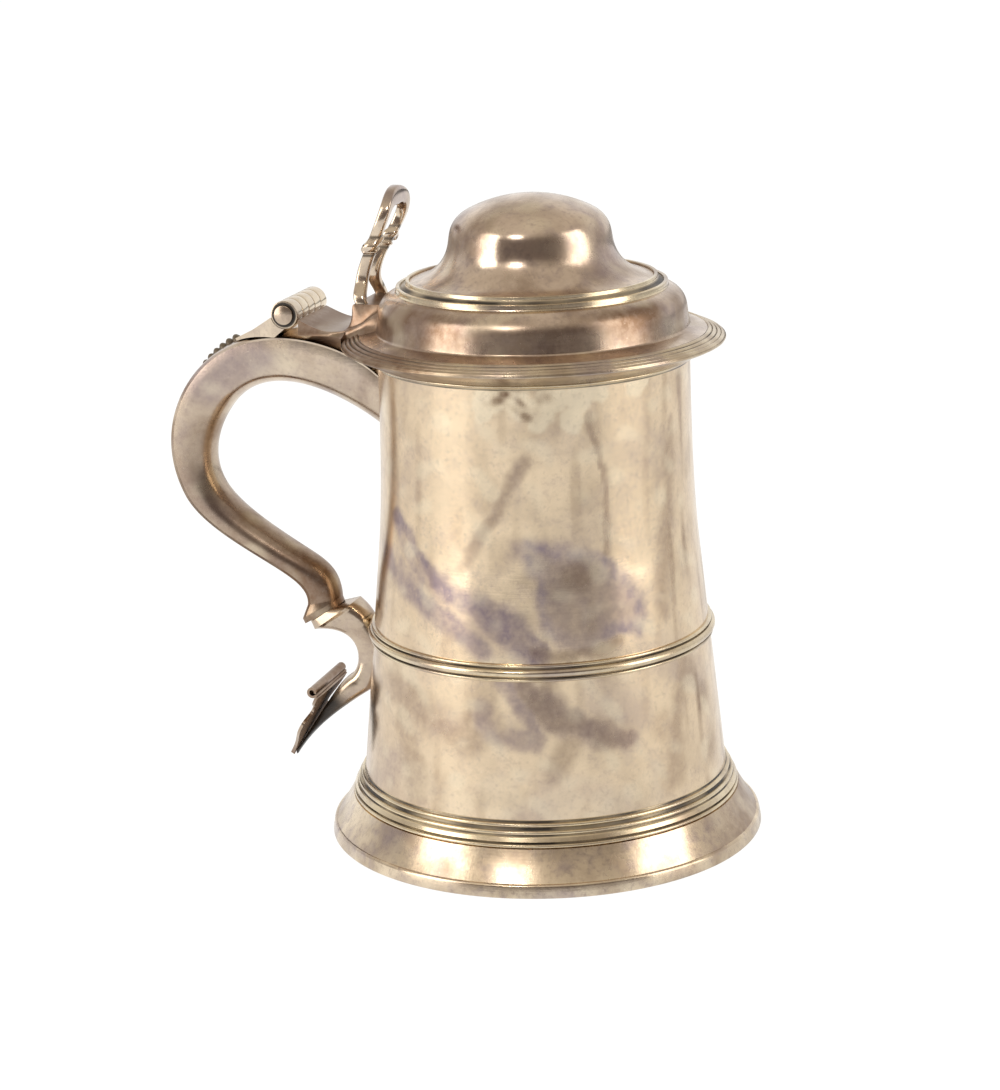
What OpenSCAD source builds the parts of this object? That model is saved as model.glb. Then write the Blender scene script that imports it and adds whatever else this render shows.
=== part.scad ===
// Lidded silver tankard: tapered drum on a spreading foot, hinged domed lid with an
// openwork thumbpiece, hollow scroll handle with a heart-shaped terminal.
// Millimetres, +Z up. The origin is the centre of the circle that the foot stands on.
// The handle lies along -X. A side view point is [distance from the axis, height].

/* [Foot] */
// Radius of the foot where it stands
foot_r = 67.5; // [62:0.5:74]
// Height of the upright rim band
foot_rim_h = 4.2; // [3:0.1:6]
// Thickness of the rim band
foot_rim_t = 2.9; // [2.4:0.1:4]
// Ledge on the rim band outside the skirt
foot_ledge = 1.5; // [1.2:0.1:2]
// Height of the hollow-curved skirt
foot_skirt_h = 8.8; // [6:0.1:12]
// How far the collar's lower edge stands outside the drum's foot
collar_out = 3.7; // [2.8:0.1:5]
// How deep the skirt's curve is hollowed
foot_skirt_hollow = 1.2; // [0:0.1:2]
// Sheet thickness of the skirt
foot_skirt_t = 1.2; // [0.8:0.1:1.4]
// Height of the reeded collar over the skirt
foot_collar_h = 7.6; // [6:0.1:10]
// Height of the collar's ledge that the drum stands on
drum_seat_h = 3; // [2:0.1:4]
// Width of that ledge inside the drum
drum_seat_w = 2; // [1.5:0.1:4]
// Radius of the collar's wires
collar_wire_r = 0.7; // [0.4:0.05:1]

/* [Drum] */
// Radius of the drum at its foot
drum_base_r = 56.9; // [54:0.1:58]
// Radius of the drum at its mouth
drum_mouth_r = 47.3; // [45:0.1:48]
// Height of the drum
drum_h = 134; // [115:1:150]
// Height above the drum's foot at which the straight taper begins to ease upright
drum_ease_h = 76; // [60:1:85]
// Radius of the drum there
drum_ease_r = 49.25; // [48.6:0.05:50]
// Wall of the drum
wall = 1; // [0.8:0.1:1.6]
// Thickness of the floor plate
floor_t = 1; // [0.8:0.1:2]
// Rise of the floor's dished middle
floor_rise = 1.6; // [0:0.1:3]
// Height of the moulded wire under the lip
lip_h = 3.4; // [2.5:0.1:5]
// How far that wire stands out
lip_out = 2.3; // [1.5:0.1:3]

/* [Girdle] */
// Height of the girdle's middle above the table
girdle_z = 64.8; // [55:0.1:75]
// Radius of the girdle's middle wire
girdle_wire_r = 1.3; // [0.8:0.1:1.6]
// Radius of the two edge wires
girdle_edge_r = 0.55; // [0.3:0.05:0.8]
// Distance from the middle wire to an edge wire
girdle_pitch = 2.1; // [1.6:0.1:2.6]
// How far the middle wire's centre stands off the drum
girdle_out = 0.5; // [0.3:0.1:0.8]

/* [Lid] */
// How far the lid's rim stands out over the drum's mouth
rim_out = 10.9; // [8:0.1:12]
// Height of the rim's widest line above the mouth
rim_up = 4.6; // [4:0.1:6]
// Drop of the sloping flange from the shoulder to the rim
flange_drop = 4.4; // [3:0.1:6]
// Width of the applied reeded moulding on the flange
rim_reed_w = 5.6; // [4:0.1:7]
// Radius of its reeds
rim_reed_r = 0.6; // [0.4:0.05:0.8]
// How far the upright shoulder stands inside the drum's mouth
shoulder_in = 0.6; // [0.4:0.1:2]
// Height of the upright part of the shoulder
shoulder_h = 3.6; // [2.5:0.1:6]
// Height of the rounded part of the shoulder
ovolo_h = 6.6; // [5:0.1:8]
// Width of the rounded part of the shoulder
ovolo_w = 5.4; // [4:0.1:7]
// Width of the stepped moulding on the shoulder
step_w = 4.4; // [3.6:0.1:6]
// Height of the slope under the stepped moulding
step_h = 3; // [2:0.1:4]
// Height of a fillet of that moulding
fillet_h = 0.75; // [0.4:0.05:1]
// Radius of the dome's side
dome_r = 24.6; // [20:0.1:27]
// Height from the ledge to the top of the dome's side
dome_side_h = 12.5; // [9:0.1:16]
// Radius of the rounding between side and crown
dome_round_r = 9; // [6:0.1:12]
// Sheet thickness of the lid
lid_t = 1; // [0.8:0.1:1.4]
// Depth of the bezel below the mouth
bezel_depth = 3.5; // [2:0.1:5]
// Thickness of the bezel
bezel_t = 0.9; // [0.7:0.1:1.4]

/* [Hinge] */
// Distance of the hinge line outside the drum's mouth
hinge_out = 27.9; // [25:0.1:30]
// Height of the hinge line above the mouth
hinge_up = 12.3; // [11.5:0.1:14.5]
// Radius of the hinge barrel
barrel_r = 4.3; // [3.6:0.1:4.6]
// Length of the hinge barrel
barrel_l = 26.4; // [24:0.2:28]
// Radius of the hinge pin
pin_r = 1.5; // [1:0.1:2]
// Radius of the discs that close the barrel's ends
cap_r = 3; // [2.4:0.1:3.4]
// Thickness of these discs
cap_t = 0.8; // [0.5:0.1:1.2]
// Thickness of the lid's hinge plate
plate_t = 1.4; // [1.2:0.1:2.4]
// Clear height between the hinge plate and the rim's widest line
plate_up = 1.4; // [1.2:0.1:2]
// How far the plate's cove spreads over the flange on either side
plate_spread = 6.5; // [4:0.1:8]
// Height of the pad under the thumbpiece above the foot of the lid's shoulder
pad_up = 5.8; // [5:0.1:7]
// Length of the standing leaf along the handle's back
standing_l = 18; // [15:0.5:20]

/* [Handle] */
// How far the handle's back reaches beyond the drum's mouth
handle_reach = 70.7; // [60:0.5:80]
// Height of the handle's back above the mouth
handle_rise = 5; // [4:0.1:5.4]
// Drop from the top of the handle to the lip at its lower end
handle_drop = 92; // [80:1:98]
// Width of the handle at the drum
handle_top_w = 20; // [16:0.5:22]
// Width of the handle at its lower end
handle_low_w = 12; // [9:0.5:14]
// Sheet thickness of the handle
handle_t = 1; // [0.7:0.1:1.2]
// Crown of the handle's back
handle_crown = 0.5; // [0.2:0.1:1.2]
// Width of the drop below the standing leaf
drop_w = 5; // [3:0.1:7]
// Height of that drop above the handle's back
drop_h = 2; // [0.8:0.1:2.6]
// Number of notched beads in that drop
drop_beads = 6; // [4:1:9]
// Height of the upright edge of the lip at the handle's lower end
lip_edge = 2; // [1:0.1:3]

/* [Terminal] */
// Height of the lower scroll that stands against the drum
scroll_h = 21; // [17:0.5:24]
// Thickness of the lower scroll
scroll_t = 7; // [5:0.1:8]
// Height of the bevel between the handle's lip and the scroll's ridge
lip_bevel = 3.3; // [2:0.1:4]
// Distance of the terminal's rolled edge outside the drum
roll_out = 17.5; // [16:0.1:21]
// Radius of the rolled edge
roll_r = 2; // [1.8:0.1:2.8]
// Half the length of the rolled edge
roll_half = 13.8; // [11:0.1:16]
// Length of the heart-shaped plate
heart_l = 28.9; // [25:0.1:32]
// Half the width of the plate's neck
heart_neck_half = 7; // [5.5:0.1:9]
// Half the width of its lobes
heart_lobe_half = 11.4; // [9.5:0.1:13]
// Angle of the plate from upright
heart_lean = 31; // [26:1:34]
// Thickness of the plate
heart_t = 1.4; // [1:0.1:2]

/* [Thumbpiece] */
// Height of the thumbpiece
thumb_h = 34.8; // [30:0.1:38]
// Width of a strap seen from the front
strap_w = 2.7; // [2:0.1:3.4]
// Depth of a strap from front to back
strap_d = 3.7; // [3:0.1:4.5]
// Half the width of the feet
thumb_foot_half = 9.2; // [8:0.1:10]
// Half the width of the waist
thumb_waist_half = 5.4; // [4.5:0.1:6.5]
// Half the width of the upper loop
thumb_loop_half = 9.2; // [8:0.1:10]
// How far the top leans in over the lid
thumb_lean = 8.8; // [6:0.1:10]
// Height of the solid crest over the upper loop
crest_h = 6; // [4:0.1:7]
// How far the pointed collars stand out from the straps
thumb_horn = 3; // [1.5:0.1:3.5]

/* [Fits] */
// Film of solder between pieces that are joined on curved faces
film = 0.05; // [0.02:0.01:0.1]
// Gap between the closed lid and the drum's mouth
lid_gap = 0.3; // [0.2:0.05:0.5]
// Radial gap between bezel and drum
bezel_gap = 1; // [0.8:0.05:1.5]
// Radial clearance of the pin in the knuckles
pin_gap = 0.05; // [0.02:0.01:0.1]
// Gap between two knuckles
knuckle_gap = 0.2; // [0.1:0.05:0.4]
// Gap between a leaf and the knuckles that turn against it
leaf_gap = 0.4; // [0.3:0.05:0.6]

/* [Hidden] */
$fn = 96;
steps = 10;
bright = [0.80, 0.77, 0.71];
warm = [0.72, 0.66, 0.58];
dusky = [0.60, 0.55, 0.53];

// Heights of the joints in the foot and drum
skirt_z = foot_rim_h;
collar_z = skirt_z + foot_skirt_h;
drum_z = collar_z + drum_seat_h;
collar_top = collar_z + foot_collar_h;
mouth_z = drum_z + drum_h;
ease_z = drum_z + drum_ease_h;
skirt_low_r = foot_r - foot_ledge;
skirt_top_r = drum_base_r + collar_out;

// Radii and heights of the lid
rim_r = drum_mouth_r + rim_out;
rim_z = mouth_z + rim_up;
shoulder_r = drum_mouth_r - shoulder_in;
shoulder_z = rim_z + flange_drop + 0.9;
ovolo_z = shoulder_z + shoulder_h;
step_r = shoulder_r - ovolo_w;
step_z = ovolo_z + ovolo_h;
ledge_r = step_r - step_w;
ledge_z = step_z + step_h;
side_z = ledge_z + dome_side_h;
crown_angle = 62;
crown_r = dome_round_r + (dome_r - dome_round_r)/cos(crown_angle);
crown_z = side_z - (dome_r - dome_round_r)*tan(crown_angle);
bezel_r = drum_mouth_r - wall - bezel_gap;

// The hinge line and the knuckles along it
hinge = [drum_mouth_r + hinge_out, mouth_z + hinge_up];
knuckle_count = 5;
knuckle_pitch = barrel_l/knuckle_count;

// Curves
function bez2(a, b, c, t) = (1 - t)*(1 - t)*a + 2*t*(1 - t)*b + t*t*c;
function bez3(a, b, c, d, t) =
    pow(1 - t, 3)*a + 3*t*pow(1 - t, 2)*b + 3*t*t*(1 - t)*c + pow(t, 3)*d;
// A chain of cubic curves: every third point is on the curve, u counts the curves
function chain(p, u) =
    let (n = (len(p) - 1)/3, i = max(0, min(floor(u), n - 1)), t = u - i)
    bez3(p[3*i], p[3*i + 1], p[3*i + 2], p[3*i + 3], t);
function curve2(a, b, c, n = steps) = [for (i = [0:n]) bez2(a, b, c, i/n)];
function arc(c, r, a0, a1, n = steps) =
    [for (i = [0:n]) let (a = a0 + (a1 - a0)*i/n) c + r*[cos(a), sin(a)]];
function unit(v) = v/norm(v);
function left_of(v) = [-v[1], v[0]];
// A line moved sideways by d, to the left of its direction
function beside(p, d) = [for (i = [0:len(p) - 1])
    p[i] + d*left_of(unit(p[min(i + 1, len(p) - 1)] - p[max(i - 1, 0)]))];
function reversed(p) = [for (i = [len(p) - 1:-1:0]) p[i]];

// Outside radius of the drum at height z: a straight taper that eases upright at the mouth
taper = (drum_base_r - drum_ease_r)/drum_ease_h;
ease_mid_z = ease_z + (drum_ease_r - drum_mouth_r)/taper;
function ease_t(z) =
    let (a = mouth_z - 2*ease_mid_z + ease_z, b = 2*(ease_mid_z - ease_z), c = ease_z - z)
    abs(a) < 0.001 ? -c/b : (-b + sqrt(b*b - 4*a*c))/(2*a);
function drum_r(z) = z <= ease_z
    ? drum_base_r - taper*(z - drum_z)
    : bez2(drum_ease_r, drum_mouth_r, drum_mouth_r, ease_t(min(z, mouth_z)));
function drum_line(z0, z1, n = steps) = [for (i = [0:n]) let (z = z0 + (z1 - z0)*i/n) [drum_r(z), z]];

// Top of the lid's flange at radius r
flange_in = shoulder_r + 1.2;
flange_slope = flange_drop/(rim_r - flange_in);
flange_skew = sqrt(1 + flange_slope*flange_slope);
function flange_z(r) = rim_z + flange_slope*(rim_r - r);
reed_in_r = rim_r - rim_reed_w;
reed_sunk = rim_reed_r/4;

// Outside of the lid's sheet, from the crown down to the edge of its flange
lid_line = concat(
    arc([0, crown_z], crown_r, 90, crown_angle),
    arc([dome_r - dome_round_r, side_z], dome_round_r, crown_angle - 6, 6),
    curve2([dome_r, side_z], [dome_r + 1, ledge_z + 2.2], [ledge_r, ledge_z], 14),
    curve2([step_r, step_z], [shoulder_r, step_z - 1.9], [shoulder_r, ovolo_z]),
    curve2([shoulder_r, shoulder_z + 0.8], [shoulder_r, shoulder_z], [flange_in, flange_z(flange_in)], 4),
    [[reed_in_r, flange_z(reed_in_r)]]);

// Profile turned round the axis
module turned(p) { rotate_extrude() polygon(p); }

// Solid skinned over a list of closed rings. A strip ring runs out along one face of a
// sheet and back along the other, so its ends are closed across the sheet.
module skin(rings, strip = false) {
    n = len(rings[0]);
    m = len(rings);
    sides = [for (j = [0:m - 2], i = [0:n - 1]) let (a = j*n + i, b = j*n + (i + 1)%n)
        each [[a, b, a + n], [b, b + n, a + n]]];
    function closed(base, turn) = strip
        ? [for (i = [0:n/2 - 2]) let (a = i, b = i + 1, c = n - 2 - i, d = n - 1 - i)
            each turn ? [[base + a, base + b, base + c], [base + a, base + c, base + d]]
                      : [[base + c, base + b, base + a], [base + d, base + c, base + a]]]
        : [for (i = [1:n - 2]) turn ? [base, base + i, base + i + 1] : [base, base + i + 1, base + i]];
    polyhedron([for (r = rings) each r], concat(sides, closed(0, false), closed((m - 1)*n, true)));
}

// Side view point p at sideways distance y, in the object's frame
function placed(p, y) = [-p[0], y, p[1]];

// Handle in side view. Shares are of its reach beyond the drum's mouth and of its drop.
handle_z = mouth_z + handle_rise;
function hp(out, down) = [drum_mouth_r + out*handle_reach, handle_z - down*handle_drop];
back_line = [
    hp(0, 0.115), hp(0.20, -0.015), hp(0.63, -0.058), hp(0.852, 0.132),
    hp(0.98, 0.24), hp(1.05, 0.40), hp(0.944, 0.57),
    hp(0.88, 0.67), hp(0.69, 0.745), hp(0.548, 0.81),
    hp(0.45, 0.855), hp(0.385, 0.89), hp(0.395, 0.945)];
inner_line = [
    hp(0, 0.32), hp(0.17, 0.22), hp(0.52, 0.085), hp(0.717, 0.25),
    hp(0.80, 0.32), hp(0.875, 0.445), hp(0.79, 0.548),
    hp(0.73, 0.618), hp(0.60, 0.682), hp(0.462, 0.746),
    hp(0.35, 0.797), hp(0.27, 0.82), hp(0.26, 0.925)];
back_lip = hp(0.419, 0.993);
inner_lip = hp(0.262, 0.926);
handle_u = 4;
handle_rings = 11*handle_u;
function handle_w(u) = handle_top_w + (handle_low_w - handle_top_w)*u/handle_u;
// A point of the handle: u along it, a from back to inside, y sideways
function handle_at(u, a, y) =
    let (b = chain(back_line, u), i = chain(inner_line, u), d = unit(i - b))
    placed(b + a*d, y);
function handle_depth(u) = norm(chain(inner_line, u) - chain(back_line, u));
// Moves a point of the handle's end along the handle until it lies on the drum
function on_drum(p) =
    let (t = unit(back_line[1] - back_line[0]), r = sqrt(pow(drum_r(p[2]), 2) - p[1]*p[1]) + film,
        z = p[2] - (-p[0] - r)*t[1]/t[0])
    [-(sqrt(pow(drum_r(z), 2) - p[1]*p[1]) + film), p[1], z];

// Half of the channel's section, from the back edge to the middle of the inside: [share of depth, share of width]
side_flat = 0.55;
function channel_half(depth, w, t) = concat(
    [[handle_t + film, w/2 - t]],
    [for (i = [0:5]) let (g = 90*i/5)
        [side_flat*depth + ((1 - side_flat)*depth - t)*sin(g), (w/2*0.97 - t)*cos(g)]]);
function channel_section(u) =
    let (d = handle_depth(u), w = handle_w(u), o = channel_half(d, w, 0), i = channel_half(d, w, handle_t),
        full = [for (h = [o, i]) concat(h, [for (k = [len(h) - 2:-1:0]) [h[k][0], -h[k][1]]])])
    concat(full[0], reversed(full[1]));
function channel_ring(u) = [for (s = channel_section(u)) handle_at(u, s[0], s[1])];

// Back strip with its crown
strip_points = 10;
function strip_section(u) = let (w = handle_w(u)) concat(
    [for (i = [0:strip_points]) [handle_t, w*(i/strip_points - 0.5)]],
    [for (i = [strip_points:-1:0]) let (v = 2*i/strip_points - 1)
        [0.1*handle_t - (handle_crown + 0.1*handle_t)*(1 - v*v), w/2*v]]);
function strip_ring(u) = [for (s = strip_section(u)) handle_at(u, s[0], s[1])];

// Ring of the flared lip that ends the handle: the last section turned to the lip's line
lip_flare = 1.12;
lip_shift = lip_edge*[-0.35, -0.85];
function lip_ring(section, shift, flare) =
    let (d = inner_lip - back_lip, k = norm(d)/handle_depth(handle_u))
    [for (s = section) placed(back_lip + shift + unit(d)*s[0]*k, s[1]*flare)];
function lip_rings(section) =
    [lip_ring(section, [0, 0], lip_flare), lip_ring(section, lip_shift, lip_flare*0.97)];

// Lower scroll in side view: its outer line runs under the arch and down the back of the
// plate, its inner line runs over the hump, along the drum and straight on to the tip.
scroll_z = girdle_z - girdle_pitch - 2.4;
scroll_low_z = scroll_z - scroll_h;
roll = [drum_r(scroll_low_z) + roll_out, scroll_low_z + 0.115*scroll_h];
heart_dir = [sin(heart_lean), -cos(heart_lean)];
heart_in = [-cos(heart_lean), -sin(heart_lean)];
heart_top = roll + roll_r*heart_in;
heart_tip = heart_top + heart_l*heart_dir;
function by_drum(out, down) =
    let (z = scroll_z - down*scroll_h) [drum_r(z) + out*scroll_t, z];
function on_plate(v, inward) = heart_top + heart_l*(v*heart_dir + inward*heart_in);
cut_dir = unit(inner_lip - back_lip);
cut_shift = lip_shift + film*left_of(cut_dir);
scroll_top = [back_lip + cut_shift + 0.8*cut_dir, inner_lip + cut_shift - 0.8*cut_dir];
scroll_ridge = [back_lip + lip_shift + lip_bevel*[-0.63, -0.78], inner_lip + lip_shift + lip_bevel*[-1.4, 0.33]];
scroll_outer = [
    scroll_ridge[0], scroll_ridge[0] + scroll_t*[-0.5, 0.08], by_drum(1.4, 0), by_drum(1.04, 0.324),
    by_drum(0.88, 0.471), by_drum(0.936, 0.667), by_drum(1.35, 0.757),
    by_drum(1.74, 0.843), on_plate(0.062, 0.078), on_plate(0.93, 0.028)];
scroll_inner = [
    scroll_ridge[1], by_drum(0.6, -0.3), by_drum(0.34, -0.08), by_drum(-0.07, 0.13),
    by_drum(-0.17, 0.4), by_drum(-0.17, 0.75), by_drum(0.11, 0.92),
    by_drum(0.69, 1.06), on_plate(0.45, 0.066), on_plate(0.96, 0.055)];
scroll_u = 3;
scroll_rings = 13*scroll_u;
scroll_widths = [[0, 1.19], [0.1, 1.06], [0.6, 0.9], [1.4, 0.86], [2, 1], [2.35, 1.1], [2.7, 0.72], [3, 0.17]];
// Keeps a point of the scroll off the drum and off the back of the plate
function off_drum(p, y) = [max(p[0], sqrt(pow(drum_r(p[1]), 2) - y*y) + film), p[1]];
function off_plate(p) =
    let (depth = (p - heart_top)*heart_in)
    (p - heart_top)*heart_dir > 0 ? p + max(0, heart_t/2 + film - depth)*heart_in : p;
scroll_soft = 0.3;
function scroll_section(width) =
    let (w = handle_low_w*width/2)
    [[0, -w*(1 - scroll_soft)], [0, w*(1 - scroll_soft)], [scroll_soft, w], [1 - scroll_soft/2, w],
     [1, w*(1 - scroll_soft)], [1, 0], [1, -w*(1 - scroll_soft)], [1 - scroll_soft/2, -w], [scroll_soft, -w]];
function scroll_between(o, i, width) =
    [for (s = scroll_section(width)) placed(off_plate(off_drum(o + s[0]*(i - o), s[1])), s[1])];
function scroll_ring(u) =
    scroll_between(chain(scroll_outer, u), chain(scroll_inner, u), lookup(u, scroll_widths));

// Thumbpiece: its lean in side view and the half width of its straps from foot to crest
pad_z = shoulder_z + pad_up;
thumb_foot = [drum_mouth_r + 3.9, pad_z + film];
function thumb_axis(s) =
    thumb_foot + [bez3(0, 0.57*thumb_lean, -1.31*thumb_lean, -thumb_lean, s), s*thumb_h];
collar_half = (thumb_waist_half + thumb_loop_half)/2;
strap_line = [
    [thumb_foot_half, 0], [thumb_foot_half, 0.1], [thumb_waist_half, 0.1], [thumb_waist_half, 0.24],
    [thumb_waist_half, 0.4], [collar_half - 0.6, 0.46], [collar_half, 0.54],
    [thumb_loop_half + 1, 0.64], [thumb_loop_half + 2.2, 0.93], [0, 1 - crest_h/2/thumb_h]];
strap_u = 3;
strap_rings = 48;
collar_s = 0.54;
low_collar_s = 0.455;
function bump(x, half) = abs(x) < half ? cos(90*x/half) : 0;
function peak(x, half) = max(0, 1 - abs(x)/half);
function strap_ring(side, u) =
    let (c = chain(strap_line, u), next = chain(strap_line, u + 0.01), last = chain(strap_line, u - 0.01),
        run = next - last, t = unit([run[0], run[1]*thumb_h]), across = [t[1], -t[0]], crest = max(0, u - 2),
        ring = max(bump(c[1] - collar_s, 0.04), bump(c[1] - low_collar_s, 0.02)),
        grow = strap_w/2 + (crest_h - strap_w)/2*pow(crest, 2) + 0.15*strap_w*ring,
        horn = thumb_horn*peak(c[1] - collar_s, 0.05),
        deep = strap_d/2*(1 - 0.15*crest + 0.3*ring))
    [for (k = [[-1, -0.6], [-1, 0.6], [-0.6, 1], [0.6, 1], [1, 0.6], [1, -0.6], [0.6, -1], [-0.6, -1]])
        let (d = k[0]*grow + max(0, k[0])*horn, w = c[0] + d*across[0], s = c[1] + d*across[1]/thumb_h,
            p = thumb_axis(s) + [k[1]*deep, 0])
        placed(p, side*w)];

// Cast hinge plate in side view: the line of its middle over the hollow and up to the pad
// under the thumbpiece, and the line of its edge, which runs out lower on the shoulder
plate_low = rim_z + plate_up;
plate_top = plate_low + plate_t;
function plate_p(out, up) = [shoulder_r + out*(rim_r - shoulder_r), plate_top + up*(pad_z - plate_top)];
pad_out = (thumb_foot[0] + strap_d/2 - shoulder_r)/(rim_r - shoulder_r);
plate_hollow = [
    hinge - barrel_r*[0.9, 0.4], hinge - barrel_r*[1.55, 0.6], plate_p(1.55, 0), plate_p(1.24, 0), plate_p(0.94, 0)];
plate_middle = concat(plate_hollow, [
    plate_p(pad_out + 0.1, 0.03), plate_p(pad_out + 0.08, 0.5),
    plate_p(pad_out + 0.07, 0.75), plate_p(pad_out + 0.08, 1), plate_p(pad_out, 1),
    plate_p(pad_out - 0.2, 1), plate_p(0.15, 1), plate_p(0, 1)]);
plate_edge = concat(plate_hollow, [
    plate_p(0.85, 0.036), plate_p(0.72, 0.1),
    plate_p(0.59, 0.157), plate_p(0.46, 0.217), plate_p(0.304, 0.337),
    plate_p(0.165, 0.446), plate_p(0.08, 0.55), plate_p(0, 0.66)]);
plate_u = 4;
plate_half = barrel_l/2 - 0.6;
pad_half = thumb_foot_half + strap_w/2 + 0.3;
plate_coves = [[0, 0.06], [1, 0.06], [1.5, 0.35], [2, 0.8], [2.6, 1], [3.3, 0.8], [4, 0.2]];
// Top of the lid at radius r, where the plate lies on it, and the front of its shoulder
reed_up = rim_reed_r - reed_sunk;
lid_tops = [
    [shoulder_r, shoulder_z + 0.8], [flange_in, flange_z(flange_in)], [reed_in_r, flange_z(reed_in_r)],
    [reed_in_r + reed_up, flange_z(reed_in_r + reed_up) + reed_up], [rim_r, rim_z + reed_up]];
function lid_top(r) = r < rim_r ? lookup(r, lid_tops) + film : plate_low;
function lid_front(y) = sqrt(pow(shoulder_r + film, 2) - y*y);
// Half of a ring of the plate, from its foot on the flange to its middle: [side view point, sideways distance]
function plate_ring_half(u) =
    let (e = chain(plate_edge, u), m = chain(plate_middle, u), o = plate_spread*lookup(u, plate_coves),
        f = lid_top(norm([e[0], plate_half + o])))
    concat(
        [for (c = [[1, 0.04], [0.62, 0.12], [0.3, 0.38], [0.1, 0.7], [0, 1]])
            [[e[0], f + c[1]*(e[1] - f)], plate_half + c[0]*o]],
        [for (c = [[0.35, 0.15], [0.75, 0.55], [1, 1]])
            [e + c[1]*(m - e), plate_half + c[0]*(pad_half - plate_half)]],
        [for (c = [2/3, 1/3]) [m, c*pad_half]]);
// A whole ring: it bends round the lid's shoulder towards the pad, and its underside lies on the lid
plate_thin = 0.3;
function plate_ring(u) =
    let (h = plate_ring_half(u), bend = max(0, u/plate_u*2 - 1),
        both = concat([for (q = h) [q[0], -q[1]]], [[chain(plate_middle, u), 0]], reversed(h)),
        outs = [for (q = both) q[0][0] + bend*(lid_front(q[1]) - shoulder_r)],
        lows = [for (i = [0:len(both) - 1]) lid_top(norm([outs[i], both[i][1]]))],
        tops = [for (i = [0:len(both) - 1]) max(both[i][0][1], lows[i] + plate_thin)])
    concat(
        [for (i = [0:len(both) - 1]) placed([outs[i], tops[i]], both[i][1])],
        [for (i = [len(both) - 1:-1:0]) placed([outs[i], lows[i]], both[i][1])]);

// Reeds on the lid's rim
module rim_reeds() {
    for (s = [0.16, 0.44, 0.72])
        let (r = reed_in_r + s*rim_reed_w) translate([r, flange_z(r) - reed_sunk]) circle(r = rim_reed_r);
}
module barrel_space(r, i0, i1) {
    translate(placed(hinge, 0)) rotate([90, 0, 0])
        translate([0, 0, -barrel_l/2 + i0*knuckle_pitch]) cylinder(r = r, h = (i1 - i0)*knuckle_pitch);
}
// Knuckles number first, first + 2 and so on, with the bore for the pin
module knuckles(first) {
    for (i = [first:2:knuckle_count - 1])
        translate(placed(hinge, 0)) rotate([90, 0, 0])
            translate([0, 0, -barrel_l/2 + i*knuckle_pitch + knuckle_gap/2]) difference() {
                cylinder(r = barrel_r, h = knuckle_pitch - knuckle_gap);
                translate([0, 0, -1]) cylinder(r = pin_r + pin_gap, h = knuckle_pitch + 2);
            }
}
// Clears a leaf round the barrel: its own knuckles touch it, the others turn free of it
module knuckle_cuts(own) {
    for (i = [0:knuckle_count - 1])
        let (free = i%2 != own, end = free ? knuckle_gap/knuckle_pitch : 0.1)
            barrel_space(barrel_r + (free ? leaf_gap : film), i - end, i + 1 + end);
}

module foot_rim() {
    h = foot_rim_h;
    color(warm) turned([
        [foot_r - foot_rim_t, 0], [foot_r - 0.4, 0], [foot_r, 0.4], [foot_r - 0.6, h - 0.5],
        [foot_r - 1, h], [foot_r - foot_rim_t, h]]);
}

module foot_skirt() {
    low = [skirt_low_r, skirt_z];
    top = [skirt_top_r, collar_z];
    mid = (low + top)/2 - foot_skirt_hollow*[1, (low[0] - top[0])/foot_skirt_h];
    line = curve2(low, mid, top);
    color(bright) turned(concat(line, [for (p = reversed(line)) p - [foot_skirt_t, 0]]));
}

module foot_collar() {
    low = [skirt_top_r - 0.1, collar_z];
    top = [drum_r(collar_top) + 0.5, collar_top - 0.5];
    seat_r = drum_r(drum_z) - wall - drum_seat_w;
    color(warm) rotate_extrude() {
        polygon(concat(
            [[seat_r, drum_z - 1.2], [skirt_top_r - foot_skirt_t - 0.2, collar_z], low, top, [drum_r(collar_top), collar_top]],
            drum_line(collar_top, drum_z, 2), [[seat_r, drum_z]]));
        for (s = [0.13, 0.42, 0.86])
            translate(low + s*(top - low)) circle(r = collar_wire_r);
    }
}

module drum() {
    color(bright) turned(concat(
        drum_line(drum_z, ease_z, 2), drum_line(ease_z, mouth_z, 12),
        [for (p = drum_line(mouth_z, ease_z, 12)) p - [wall, 0]],
        [for (p = drum_line(ease_z, drum_z, 2)) p - [wall, 0]]));
}

module floor_plate() {
    edge = drum_r(drum_z) - wall - film;
    flat = edge - drum_seat_w - 0.4;
    under = curve2([0, drum_z + floor_rise], [flat*0.6, drum_z + floor_rise], [flat, drum_z]);
    color(dusky) turned(concat(
        under, [[edge, drum_z], [drum_r(drum_z + floor_t) - wall - film, drum_z + floor_t]],
        [for (p = reversed(under)) p + [0, floor_t]]));
}

module lip_wire() {
    low_z = mouth_z - lip_h;
    r = drum_mouth_r;
    cove = curve2([r + 0.4, low_z], [r + 0.5, mouth_z - 1.2], [r + lip_out - 0.3, mouth_z - 1.2], 6);
    color(warm) turned(concat(
        [for (p = drum_line(mouth_z, low_z, 2)) p + [film, 0]], cove,
        [[r + lip_out, mouth_z - 0.9], [r + lip_out, mouth_z - 0.3], [r + lip_out - 0.3, mouth_z]]));
}

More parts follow.
